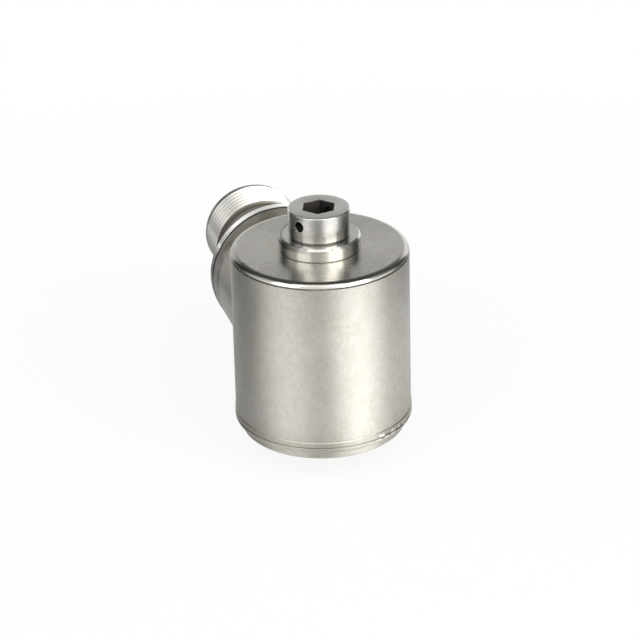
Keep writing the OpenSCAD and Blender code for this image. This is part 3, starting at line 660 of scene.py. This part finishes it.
def rounded(corners):
    """Points of an outline. Each corner is (radius, along) or (radius, along, rounding)."""
    points = []
    for i, (*place, size) in enumerate((*corner, 0.0)[:3] for corner in corners):
        here = Vector(place)
        if not size:
            points.append(here)
            continue
        before = (Vector(corners[i - 1][:2]) - here).normalized()
        after = (Vector(corners[i + 1][:2]) - here).normalized()
        half = before.angle(after) / 2
        reach = size / math.tan(half)
        middle = here + (before + after).normalized() * (size / math.sin(half))
        start, end = here + before * reach - middle, here + after * reach - middle
        for k in range(EDGE_STEPS + 1):
            points.append(middle + start.lerp(end, k / EDGE_STEPS).normalized() * size)
    return points


def placed(radius, along, angle, axis):
    """Point of a turned piece round Z, or round the connector's axis."""
    s, c = math.sin(angle), math.cos(angle)
    if axis == "Y":
        return Vector((radius * s, along, CONNECTOR_Z + radius * c))
    return Vector((radius * c, radius * s, along))


def turn(bm, points, columns, axis):
    """Adds the surface that an outline makes when it turns round its axis."""
    rings = []
    for radius, along in points:
        count = 1 if radius < 1e-9 else columns
        angles = [2 * math.pi * k / columns for k in range(count)]
        rings.append([bm.verts.new(placed(radius, along, angle, axis)) for angle in angles])
    for low, high in zip(rings, rings[1:]):
        for k in range(columns):
            places = ((low, k), (low, k + 1), (high, k + 1), (high, k))
            corners = list(dict.fromkeys(ring[n % len(ring)] for ring, n in places))
            if len(corners) > 2:
                bm.faces.new(corners)


def linked(name, data):
    """A new object in the scene."""
    made = bpy.data.objects.new(name, data)
    bpy.context.scene.collection.objects.link(made)
    return made


def object_from(bm, name):
    """A new object whose mesh has its doubles merged and its faces pointing outwards."""
    bmesh.ops.remove_doubles(bm, verts=bm.verts, dist=MERGE)
    mesh = bpy.data.meshes.new(name)
    point_outwards(bm, mesh)
    return linked(name, mesh)


def point_outwards(bm, mesh):
    """Writes a bmesh into a mesh with its faces pointing outwards."""
    bmesh.ops.recalc_face_normals(bm, faces=bm.faces)
    bm.to_mesh(mesh)
    bm.free()


def turn_faces_out(mesh):
    """Makes a mesh's faces point outwards."""
    bm = bmesh.new()
    bm.from_mesh(mesh)
    point_outwards(bm, mesh)


def settled(obj):
    """The object with its evaluated mesh as a plain mesh, and without its modifiers."""
    bpy.context.view_layer.update()
    mesh = bpy.data.meshes.new_from_object(obj.evaluated_get(bpy.context.evaluated_depsgraph_get()))
    mesh.name = obj.name
    obj.modifiers.clear()
    obj.data = mesh
    return obj


def combine_solids(obj, tools, operation="DIFFERENCE"):
    """Cuts tools from an object, or adds them to it, then removes them."""
    for tool in tools:
        cut = obj.modifiers.new("cut", "BOOLEAN")
        cut.operation = operation
        cut.solver = "EXACT"
        cut.object = tool
    settled(obj)
    for tool in tools:
        bpy.data.objects.remove(tool)


def shade_turned(obj, axis):
    """Smooth shading that follows the turned surface and breaks at its edges."""
    turn_faces_out(obj.data)
    obj.data.shade_smooth()
    obj.data.set_sharp_from_angle(angle=SHARP_ANGLE)
    weighted = obj.modifiers.new("weighted", "WEIGHTED_NORMAL")
    weighted.keep_sharp = True
    weighted.weight = 100
    mesh = settled(obj).data
    centre, spin = placed(0, 0, 0, axis), Vector((0, 1, 0) if axis == "Y" else (0, 0, 1))
    normals = [Vector(n.vector) for n in mesh.corner_normals]
    for face in mesh.polygons:
        for corner in face.loop_indices:
            out = mesh.vertices[mesh.loops[corner].vertex_index].co - centre
            out -= spin * out.dot(spin)
            if out.length < 0.01 * MM:
                continue
            side = spin.cross(out).normalized()
            if abs(face.normal.dot(side)) < LEAN:
                normals[corner] = (normals[corner] - side * normals[corner].dot(side)).normalized()
    mesh.normals_split_custom_set(normals)


def dress(obj, material, body, slot, *nodes):
    """Gives a finished piece its material and body, and hides the nodes that it stands for; its slot is not
    used.
    """
    obj.data.materials.clear()
    obj.data.materials.append(material)
    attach(obj, body)
    if nodes:
        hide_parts(*nodes)


# ---- Geometry node trees


def new_geometry_tree(name, inputs):
    """A geometry node tree with a mesh output and the named inputs. A value of None stands for a material."""
    kinds = {float: "NodeSocketFloat", int: "NodeSocketInt", type(None): "NodeSocketMaterial"}
    tree = bpy.data.node_groups.new(name, "GeometryNodeTree")
    tree.interface.new_socket("Geometry", in_out="INPUT", socket_type="NodeSocketGeometry")
    for label, value in inputs.items():
        socket = tree.interface.new_socket(label, in_out="INPUT", socket_type=kinds[type(value)])
        if value is not None:
            socket.default_value = value
    tree.interface.new_socket("Geometry", in_out="OUTPUT", socket_type="NodeSocketGeometry")
    sheet = Sheet(tree)
    geometry = sheet.node("NodeGroupInput")
    return sheet, {label: sheet.other_output(geometry, label) for label in inputs}


def end_geometry_tree(sheet, mesh, material):
    """Ends a tree in Realize Instances and Set Material."""
    whole = sheet.node("GeometryNodeRealizeInstances", {0: mesh})
    done = sheet.node("GeometryNodeSetMaterial", {"Geometry": whole, "Material": material})
    sheet.end("NodeGroupOutput", done)
    return sheet.tree


def thread_tree():
    """Outside thread along +Z from 0 to its length, open at both ends, with chamfered ends."""
    sheet, given = new_geometry_tree("outside_thread", {
        "Major Radius": 8 * MM, "Pitch": MM, "Depth": 0.5 * MM, "Length": 8 * MM,
        "Low Chamfer": 0.4 * MM, "High Chamfer": 0.4 * MM, "Low Radius": 7 * MM, "High Radius": 7 * MM,
        "Rows": 160, "Columns": 144, "Material": None})
    crest, pitch, length = given["Major Radius"], given["Pitch"], given["Length"]
    rows, columns = given["Rows"], given["Columns"]
    grid = sheet.node("GeometryNodeMeshGrid", {
        "Size X": 1.0, "Size Y": 1.0, "Vertices X": rows, "Vertices Y": columns + 1})
    index = sheet.node("GeometryNodeInputIndex")
    # The small share keeps a quotient just under a whole row from being floored to the row before
    row = (index / (columns + 1) + 0.0001).maths("FLOOR")
    turn_share = (index - row * (columns + 1)) / columns
    run = (row - 1.0) * pitch / THREAD_STEPS + pitch * turn_share - pitch
    along = run.at_least(0.0).at_most(length)
    phase = ((along / pitch - turn_share + 0.5).maths("FRACT") - 0.5).maths("ABSOLUTE")
    radius = crest - given["Depth"] * ((phase - HALF_CREST) * FLANK_RISE).maths("ADD", 0.0, clamp=True)
    radius = radius.at_most(crest - given["Low Chamfer"] + along)
    radius = radius.at_most(crest - given["High Chamfer"] + length - along)
    first, last = 1 - row.at_most(1.0), (row - (rows - 2)).at_least(0.0)
    radius = radius * (1 - first) * (1 - last) + given["Low Radius"] * first + given["High Radius"] * last
    along = along * (1 - first) * (1 - last) + length * last
    angle = turn_share * (2 * math.pi)
    place = sheet.combine(radius * angle.maths("COSINE"), radius * angle.maths("SINE"), along)
    bent = sheet.node("GeometryNodeSetPosition", {"Geometry": grid, "Position": place})
    merged = sheet.node("GeometryNodeMergeByDistance", {"Geometry": bent, "Distance": MERGE})
    return end_geometry_tree(sheet, merged, given["Material"])


def bead_tree():
    """Rippled weld bead round a closed path: a circle, or the saddle where a tube meets the round case."""
    sheet, given = new_geometry_tree("weld_bead", {
        "Path Radius": 11 * MM, "Case Radius": 14 * MM, "Axis Height": 15 * MM, "Flat Path": 0.0,
        "Path Place": 0.0, "Bead Radius": 0.3 * MM, "Ripples": 190, "Ripple Depth": 0.12, "Points": 1140,
        "Material": None})
    radius, case, flat = given["Path Radius"], given["Case Radius"], given["Flat Path"]
    round_path, outline = (
        sheet.node("GeometryNodeCurvePrimitiveCircle", {"Resolution": count, "Radius": size})
        for count, size in ((given["Points"], 1.0), (12, given["Bead Radius"])))
    angle = sheet.node("GeometryNodeInputIndex") / given["Points"] * (2 * math.pi)
    across = radius * angle.maths("SINE")
    up = given["Axis Height"] + radius * angle.maths("COSINE")
    saddle = (case * case - across * across).at_least(0.0).maths("SQRT")
    place = sheet.combine(across, saddle * (1 - flat) + given["Path Place"] * flat, up)
    path = sheet.node("GeometryNodeSetPosition", {"Geometry": round_path, "Position": place})
    wave = (angle * given["Ripples"]).maths("SINE") * 0.5 + 0.5
    swell = sheet.node("GeometryNodeSetCurveRadius", {
        "Curve": path, "Radius": 1 - given["Ripple Depth"] * wave ** 2.0})
    bead = sheet.node("GeometryNodeCurveToMesh", {
        "Curve": swell, "Profile Curve": outline, "Scale": sheet.node("GeometryNodeInputRadius")})
    smooth = sheet.node("GeometryNodeSetShadeSmooth", {0: bead})
    return end_geometry_tree(sheet, smooth, given["Material"])


def made_by(tree, name, values):
    """A plain mesh object that a geometry node tree makes from the given inputs."""
    obj = linked(name, bpy.data.meshes.new(name))
    modifier = obj.modifiers.new(name, "NODES")
    modifier.node_group = tree
    keys = {item.name: item.identifier for item in tree.interface.items_tree
            if item.item_type == "SOCKET" and item.in_out == "INPUT"}
    for label, value in values.items():
        modifier[keys[label]] = value
    return settled(obj)


# ---- Pieces


def thread_on(bm, columns, axis, low_along, values):
    """Adds a thread to a bmesh, moved to its place on the piece."""
    rows = THREAD_STEPS * (math.ceil(values["Length"] / values["Pitch"]) + 1) + 3
    tree = bpy.data.node_groups.get("outside_thread") or thread_tree()
    helper = made_by(tree, "thread_form", {**values, "Rows": rows, "Columns": columns})
    for vertex in helper.data.vertices:
        x, y, along = vertex.co
        vertex.co = placed(math.hypot(x, y), along + low_along, math.atan2(y, x), axis)
    bm.from_mesh(helper.data)
    bpy.data.objects.remove(helper)


def cutter(name, points, columns, move=Matrix.Identity(4)):
    """A closed turned tool for cutting, made round Z and then moved."""
    bm = bmesh.new()
    turn(bm, [Vector(point) for point in points], columns, "Z")
    tool = object_from(bm, name)
    tool.data.transform(move)
    return tool


class SENSOR_OT_connector_shell(bpy.types.Operator):
    """Turns the connector shell with its real thread, groove line, relief and keyed socket"""

    bl_idname = "sensor.connector_shell"
    bl_label = "Make Connector Shell"

    def execute(self, context):
        threads, turning = context.scene.sensor_threads, context.scene.sensor_turning
        material = FINISHES["turned_connector_steel"]
        edge = turning.edge
        glass_back = MOUTH_Y - 12.0 * MM
        socket_end = glass_back - 0.03 * MM
        filter_front = glass_back - 3.0 * MM
        mouth_bevel, neck_bevel, flange_bevel = 0.25 * MM, 0.15 * MM, 0.2 * MM
        barrel_r, line_r = 8.7975 * MM, 10.95 * MM
        chamber_r, throat_r, spigot_r = 7.0 * MM, 5.9475 * MM, 8.47 * MM
        bm = bmesh.new()
        turn(bm, rounded([
            (RELIEF_R, MOUTH_Y), (SOCKET_R + mouth_bevel, MOUTH_Y, edge),
            (SOCKET_R, MOUTH_Y - mouth_bevel, edge), (SOCKET_R, socket_end),
            (throat_r, socket_end), (throat_r, filter_front),
            (chamber_r, filter_front), (chamber_r, SPIGOT_Y),
            (spigot_r, SPIGOT_Y), (spigot_r, NECK_END_Y),
            (NECK_R - neck_bevel, NECK_END_Y), (NECK_R, NECK_END_Y + neck_bevel, edge),
            (NECK_R, LINE_Y, edge * 1.4), (line_r, LINE_Y),
            (line_r, FLANGE_Y), (FLANGE_R, FLANGE_Y, edge * 1.4),
            (FLANGE_R, BARREL_Y - flange_bevel, edge * 1.5), (FLANGE_R - flange_bevel, BARREL_Y, edge * 1.5),
            (barrel_r, BARREL_Y, edge * 3), (barrel_r, RELIEF_Y, edge * 3),
            (RELIEF_R, RELIEF_Y, edge * 2), (RELIEF_R, THREAD_Y),
        ]), turning.columns, "Y")
        thread_on(bm, turning.columns, "Y", THREAD_Y, {
            "Major Radius": THREAD_R, "Pitch": threads.connector_pitch, "Depth": threads.connector_depth,
            "Length": MOUTH_Y - THREAD_Y, "Low Chamfer": 0.45 * MM, "High Chamfer": 0.45 * MM,
            "Low Radius": RELIEF_R, "High Radius": RELIEF_R, "Material": material})
        shell = object_from(bm, "connector_shell_turned")
        bpy.context.view_layer.update()
        key = bmesh.new()
        bmesh.ops.create_cube(key, size=1.0)
        for vertex in key.verts:
            x, y, z = vertex.co
            vertex.co = Vector((
                x * 1.6 * MM,
                THREAD_Y if y < 0 else MOUTH_Y - 0.8 * MM,
                CONNECTOR_Z + SOCKET_R + (0.25 * MM if z > 0 else -0.9 * MM)))
        bmesh.ops.bevel(key, geom=list(key.edges), offset=0.12 * MM, segments=3, affect="EDGES", profile=0.5)
        combine_solids(shell, [object_from(key, "key_form")], "UNION")
        shade_turned(shell, "Y")
        dress(shell, material, "housing", "polished_steel", "connector_shell")
        return {"FINISHED"}


class SENSOR_OT_captive_screw(bpy.types.Operator):
    """Turns the captive screw with its real thread, hex socket and lock-wire hole"""

    bl_idname = "sensor.captive_screw"
    bl_label = "Make Captive Screw"

    def execute(self, context):
        threads, turning = context.scene.sensor_threads, context.scene.sensor_turning
        material = FINISHES["turned_screw_steel"]
        edge = turning.edge
        groove_low, groove_high = 0.85 * MM, 1.75 * MM
        low_journal, high_journal = groove_high + 6.0 * MM, BOSS_TOP - 5.5 * MM
        end_r, top_r = 2.4 * MM, 3.6 * MM
        taper, head_bevel, top_bevel = 0.6 * MM, 0.3 * MM, 0.12 * MM
        bm = bmesh.new()
        turn(bm, rounded([(0.0, STUD_END), (end_r, STUD_END)]), turning.columns, "Z")
        turn(bm, rounded([
            (WAIST_R, groove_low), (WAIST_R, groove_high),
            (SHANK_R, groove_high, edge), (SHANK_R, low_journal - taper),
            (WAIST_R, low_journal), (WAIST_R, high_journal),
            (SHANK_R, high_journal + taper), (SHANK_R, BOSS_TOP),
            (HEAD_R - head_bevel, BOSS_TOP, edge * 1.5), (HEAD_R, BOSS_TOP + head_bevel, edge * 1.5),
            (HEAD_R, HEAD_TOP - top_bevel, edge), (HEAD_R - top_bevel, HEAD_TOP, edge),
            (top_r, HEAD_TOP), (0.0, HEAD_TOP),
        ]), turning.columns, "Z")
        thread_on(bm, turning.columns, "Z", STUD_END, {
            "Major Radius": SHANK_R, "Pitch": threads.stud_pitch, "Depth": threads.stud_depth,
            "Length": groove_low - STUD_END, "Low Chamfer": 0.6 * MM, "High Chamfer": 0.2 * MM,
            "Low Radius": end_r, "High Radius": WAIST_R, "Material": material})
        screw = object_from(bm, "captive_screw_turned")
        # The tools stand past the head, by over, so that they cut its faces cleanly
        over = HEAD_TOP + MM
        flat_r, socket_low = 2.38 * MM, HEAD_TOP - 2.7 * MM
        corner_r = flat_r / math.cos(math.radians(30))
        socket = cutter("socket_form", [
            (0, socket_low), (corner_r, socket_low), (corner_r, over), (0, over)], 6,
            Matrix.Rotation(SOCKET_TURN, 4, "Z"))
        bore = cutter("socket_bore_form", [
            (0, socket_low - 0.8 * MM), (flat_r, socket_low + 0.001 * MM), (flat_r, HEAD_TOP - 0.03 * MM),
            (flat_r + 1.03 * MM, over), (0, over)], 72)
        entry = HEAD_R - 0.07 * MM
        hole = cutter("wire_hole_form", [
            (0, -entry - MM), (WIRE_HOLE_R + MM, -entry - MM), (WIRE_HOLE_R, -entry),
            (WIRE_HOLE_R, entry), (WIRE_HOLE_R + MM, entry + MM), (0, entry + MM)], 48,
            Matrix.Translation((0, 0, WIRE_HOLE_Z)) @ Matrix.Rotation(WIRE_HOLE_TURN, 4, "Z")
            @ Matrix.Rotation(math.radians(90), 4, "Y"))
        combine_solids(screw, [socket, bore, hole])
        shade_turned(screw, "Z")
        dress(screw, material, "screw", "polished_steel", "captive_screw")
        return {"FINISHED"}


class SENSOR_OT_weld_beads(bpy.types.Operator):
    """Lays the rippled bead round the neck's saddle and the flush bead of the connector joint"""

    bl_idname = "sensor.weld_beads"
    bl_label = "Make Weld Beads"

    def execute(self, context):
        welds = context.scene.sensor_welds
        tree, material = bead_tree(), FINISHES["weld_bead_steel"]
        common = {"Case Radius": CASE_R, "Axis Height": CONNECTOR_Z, "Ripples": welds.ripples,
                  "Points": welds.ripples * 6, "Ripple Depth": welds.ripple_depth, "Material": material}
        beads = {
            "saddle_weld_bead": {"Path Radius": NECK_R + 0.04 * MM, "Bead Radius": welds.saddle_bead},
            "joint_weld_bead": {"Path Radius": NECK_R - welds.joint_bead * 0.92,
                                "Bead Radius": welds.joint_bead, "Flat Path": 1.0, "Path Place": NECK_END_Y},
        }
        for name, values in beads.items():
            bead = made_by(tree, name, {**common, **values})
            turn_faces_out(bead.data)
            dress(bead, material, "housing", "case_steel")
        return {"FINISHED"}


# ---- Stage

LAMP_DISTANCE = 0.6
CARD_RADII = (15 * MM, 0.5)
AIM_ACROSS, AIM_HEIGHT = -0.2196 * MM, 17.5793 * MM
SENSOR_MIDDLE = Vector((0, 0, 0.02))

# Azimuth from the camera's own, positive to the right, and elevation, then width, height and colour
SOFTBOXES = {
    "right": (45, 32, 0.42, 0.55, (1, 0.995, 0.98)),
    "left": (-46, 32, 0.36, 0.55, (1, 0.995, 0.98)),
    "top": (-4, 53, 0.5, 0.5, (1, 1, 1)),
}

# What the metal sees of the studio, as azimuth from the camera's own and brightness. The cards near the
# sensor stand in its case's side, those further off in its boss and screw, and the rest is the studio's floor
FOOT_TONES = (
    (-180, 0.5), (-100, 0.4), (-80, 0.42), (-64, 0.45), (-49, 0.87), (-36, 1.05), (-24, 1.05), (-13, 0.75),
    (-2, 0.65), (9, 0.8), (20, 1.35), (32, 1.75), (45, 1.8), (58, 1.2), (75, 0.75), (110, 0.7), (180, 0.5),
)
NEAR_TONES = (
    (-180, 0.7), (-148, 0.55), (-132, 0.48), (-98, 0.38), (-86, 0.45), (-76, 0.75), (-64, 1.15), (-45, 1.4),
    (-24, 1.35), (-12, 1.05), (0, 0.9), (8, 1.0), (18, 1.6), (45, 2.5), (70, 1.8), (84, 1.2), (106, 1.1),
    (130, 1.0), (155, 0.8), (180, 0.7),
)
FAR_TONES = (
    (-180, 0.7), (-148, 0.6), (-132, 0.1), (-98, 0.08), (-84, 0.25), (-70, 1.2), (-52, 1.9), (-40, 1.8),
    (-26, 1.0), (-12, 0.6), (0, 0.55), (10, 1.0), (18, 2.1), (30, 2.8), (45, 2.9), (67, 2.3), (77, 1.0),
    (88, 0.4), (100, 0.16), (125, 0.12), (150, 0.3), (180, 0.7),
)
FLOOR_TONES = ((-180, 1.0), (-144, 0.9), (-130, 0.12), (134, 0.12), (148, 0.9), (180, 1.0))
# Of the backdrop behind the sensor, as elevation and brightness, and of the sky before it, by azimuth
BACKDROP_TONES = ((-90, 1.1), (18, 1.2), (27, 0.8), (33, 0.2), (60, 0.08), (90, 0.1))
SKY_TONES = (
    (-180, 0.1), (-112, 0.08), (-98, 0.5), (-84, 0.9), (-70, 1.1), (-52, 1.3), (-36, 1.0), (-19, 0.45),
    (-4, 0.4), (10, 1.0), (26, 1.7), (42, 1.8), (62, 1.6), (78, 0.7), (96, 0.35), (110, 0.1), (180, 0.1),
)
HORIZON_TONES = ((-180, 0.1), (-112, 0.1), (-96, 1.3), (-70, 1.7), (80, 1.9), (98, 1.2), (112, 0.1), (180, 0.1))
BRIGHTEST = max(tone for _, tone in FAR_TONES)


def studio_axes(stage):
    """Level directions towards the camera and to its right."""
    a = stage.azimuth
    return Vector((math.sin(a), -math.cos(a), 0)), Vector((math.cos(a), math.sin(a), 0))


def softbox(name, stage, azimuth, elevation, width, height, colour):
    """An area lamp that faces the sensor."""
    light = bpy.data.lights.new(f"{name}_softbox", "AREA")
    light.shape = "RECTANGLE"
    light.size, light.size_y, light.color = width, height, colour
    light.energy = getattr(stage, f"{name}_lamp") * math.pi * width * height
    back, right = studio_axes(stage)
    a, e = math.radians(azimuth), math.radians(elevation)
    level = back * math.cos(a) + right * math.sin(a)
    way = level * (LAMP_DISTANCE * math.cos(e)) + Vector((0, 0, 1)) * (LAMP_DISTANCE * math.sin(e))
    lamp = linked(light.name, light)
    lamp.location = SENSOR_MIDDLE + way
    lamp.rotation_euler = way.to_track_quat("Z", "Y").to_euler()


def ray_kinds(sheet):
    """1 for rays from the camera, and 1 for rays off metal or through glass."""
    camera = sheet.node("ShaderNodeLightPath", output="Is Camera Ray")
    glossy, through = (sheet.other_output(camera, f"Is {kind} Ray") for kind in ("Glossy", "Transmission"))
    return camera, (glossy + through).at_most(1.0)


def floor_material():
    """White floor that keeps the sensor's shadow."""
    material = bpy.data.materials.new("studio_floor")
    sheet = Sheet(emptied_tree(material))
    place = sheet.node("ShaderNodeTexCoord", output="Object")
    reach = sheet.node("ShaderNodeVectorMath", {0: place}, "Value", operation="LENGTH")
    white = sheet.node("ShaderNodeEmission", {"Color": (1, 1, 1, 1), "Strength": 1.0})
    matt = sheet.node("ShaderNodeBsdfDiffuse", {"Color": (0.86, 0.86, 0.85, 1)})
    camera, bounced = ray_kinds(sheet)
    share = (camera + bounced).at_most(1.0) * (0.88 + 0.12 * reach.above(0.11, 0.1))
    mixed = sheet.node("ShaderNodeMixShader", {0: share, 1: matt, 2: white})
    sheet.end("ShaderNodeOutputMaterial", mixed)
    return material


def azimuth_share(x, y, stage):
    """0 to 1 round the sensor, with the camera's own azimuth at one half."""
    front = stage.azimuth - math.pi / 2
    return ((y.maths("ARCTAN2", x) - (front - math.pi)) / (2 * math.pi)).maths("FRACT")


def grey(tone):
    """A tone as a share of the brightest that a card shows."""
    return (tone / BRIGHTEST,) * 3


def tones(sheet, share, table, low=-180):
    """Grey by a table of angle and tone, for a share of the angles from low to -low."""
    stops = [((angle - low) / (-2 * low), (*grey(tone), 1)) for angle, tone in table]
    return sheet.node("ShaderNodeValToRGB", {0: share}, stops=stops)


def card_material(stage):
    """Cards from pale to dark round the sensor."""
    material = bpy.data.materials.new("reflection_cards")
    sheet = Sheet(emptied_tree(material))
    x, y, _ = sheet.parts(sheet.node("ShaderNodeTexCoord", output="Object"))
    share, reach = azimuth_share(x, y, stage), (x * x + y * y).maths("SQRT")
    colour = sheet.coats(
        tones(sheet, share, FOOT_TONES),
        (reach.above(38 * MM, 26 * MM), tones(sheet, share, NEAR_TONES)),
        (reach.above(76 * MM, 3 * MM), tones(sheet, share, FAR_TONES)),
        (reach.above(98 * MM, 4 * MM), tones(sheet, share, FLOOR_TONES)))
    glow = sheet.node("ShaderNodeEmission", {"Color": colour, "Strength": BRIGHTEST})
    sheet.end("ShaderNodeOutputMaterial", glow)
    return material


def studio_world(stage):
    """Pale backdrop behind the sensor and dark sides, with plain grey light for what is matt."""
    world = bpy.data.worlds.new("studio")
    sheet = Sheet(emptied_tree(world))
    x, y, z = sheet.parts(sheet.node("ShaderNodeTexCoord", output="Generated"))
    share = azimuth_share(x, y, stage)
    behind = (share - 0.5).maths("ABSOLUTE").above(138 / 360, 8 / 360)
    rise = z.maths("ARCSINE") / math.pi + 0.5
    high = rise.above(95 / 180, 4 / 180) * rise.below(138 / 180, 20 / 180)
    front = sheet.blend(rise.below(109 / 180, 6 / 180) * 0.95,
                        tones(sheet, share, SKY_TONES), tones(sheet, share, HORIZON_TONES))
    shown = sheet.blend(behind, sheet.blend(high, grey(0.08), front), tones(sheet, rise, BACKDROP_TONES, -90))
    camera, bounced = ray_kinds(sheet)
    colour = sheet.coats(grey(0.5), (bounced, shown), (camera, grey(1.0)))
    glow = sheet.node("ShaderNodeBackground", {"Color": colour, "Strength": BRIGHTEST})
    sheet.end("ShaderNodeOutputWorld", glow)
    return world


def floor_cards(stage):
    """A flat ring of cards on the floor that only the metal sees."""
    bm = bmesh.new()
    turn(bm, [Vector((radius, STUD_END + 0.2 * MM)) for radius in CARD_RADII], 72, "Z")
    cards = object_from(bm, "floor_cards")
    cards.data.materials.append(card_material(stage))
    cards.visible_camera = cards.visible_diffuse = cards.visible_shadow = cards.visible_transmission = False


class SENSOR_OT_stage(bpy.types.Operator):
    """Sets the floor, the world, the lamps, the reflection cards and the camera"""

    bl_idname = "sensor.stage"
    bl_label = "Make Stage"

    def execute(self, context):
        scene, stage = context.scene, context.scene.sensor_stage
        scene.view_settings.view_transform = "Standard"
        bm = bmesh.new()
        bmesh.ops.create_grid(bm, x_segments=8, y_segments=8, size=4.0)
        floor = object_from(bm, "studio_floor")
        floor.data.transform(Matrix.Translation((0, 0, STUD_END - 0.05 * MM)))
        floor.data.materials.append(floor_material())

        scene.world = studio_world(stage)
        for name, sizes in SOFTBOXES.items():
            softbox(name, stage, *sizes)
        floor_cards(stage)

        camera = linked("camera", bpy.data.cameras.new("camera"))
        scene.camera = camera
        camera.data.sensor_width = 36.0
        camera.data.lens = stage.lens
        camera.data.clip_start, camera.data.clip_end = 0.01, 20.0
        level_back, right = studio_axes(stage)
        e, r = stage.elevation, stage.roll
        back_way = level_back * math.cos(e) + Vector((0, 0, math.sin(e)))
        up_way = back_way.cross(right)
        across = right * math.cos(r) + up_way * math.sin(r)
        upward = up_way * math.cos(r) - right * math.sin(r)
        aim = right * AIM_ACROSS + Vector((0, 0, AIM_HEIGHT))
        turned = Matrix((across, upward, back_way)).transposed().to_4x4()
        camera.matrix_world = Matrix.Translation(aim + back_way * stage.distance) @ turned
        return {"FINISHED"}


class SENSOR_PT_panel(bpy.types.Panel):
    """Lists the sensor's settings and steps"""

    bl_idname = "SENSOR_PT_panel"
    bl_label = "Vibration Sensor"
    bl_space_type = "VIEW_3D"
    bl_region_type = "UI"
    bl_category = "Sensor"

    def draw(self, context):
        for name, group in SETTINGS.items():
            box = self.layout.box()
            box.label(text=group.__doc__)
            for key in group.__annotations__:
                box.prop(getattr(context.scene, name), key)
        for step in STEPS:
            self.layout.operator(step.bl_idname)


STEPS = (
    SENSOR_OT_finishes,
    SENSOR_OT_connector_shell,
    SENSOR_OT_captive_screw,
    SENSOR_OT_weld_beads,
    SENSOR_OT_stage,
)

CLASSES = (*SETTINGS.values(), *STEPS, SENSOR_PT_panel)


def register():
    for made in CLASSES:
        bpy.utils.register_class(made)
    for name, group in SETTINGS.items():
        setattr(bpy.types.Scene, name, bpy.props.PointerProperty(type=group))


def unregister():
    for name in SETTINGS:
        delattr(bpy.types.Scene, name)
    for made in reversed(CLASSES):
        bpy.utils.unregister_class(made)


def main():
    register()
    for step in STEPS:
        _, name = step.bl_idname.split(".")
        getattr(bpy.ops.sensor, name)()


if __name__ == "__main__":
    main()
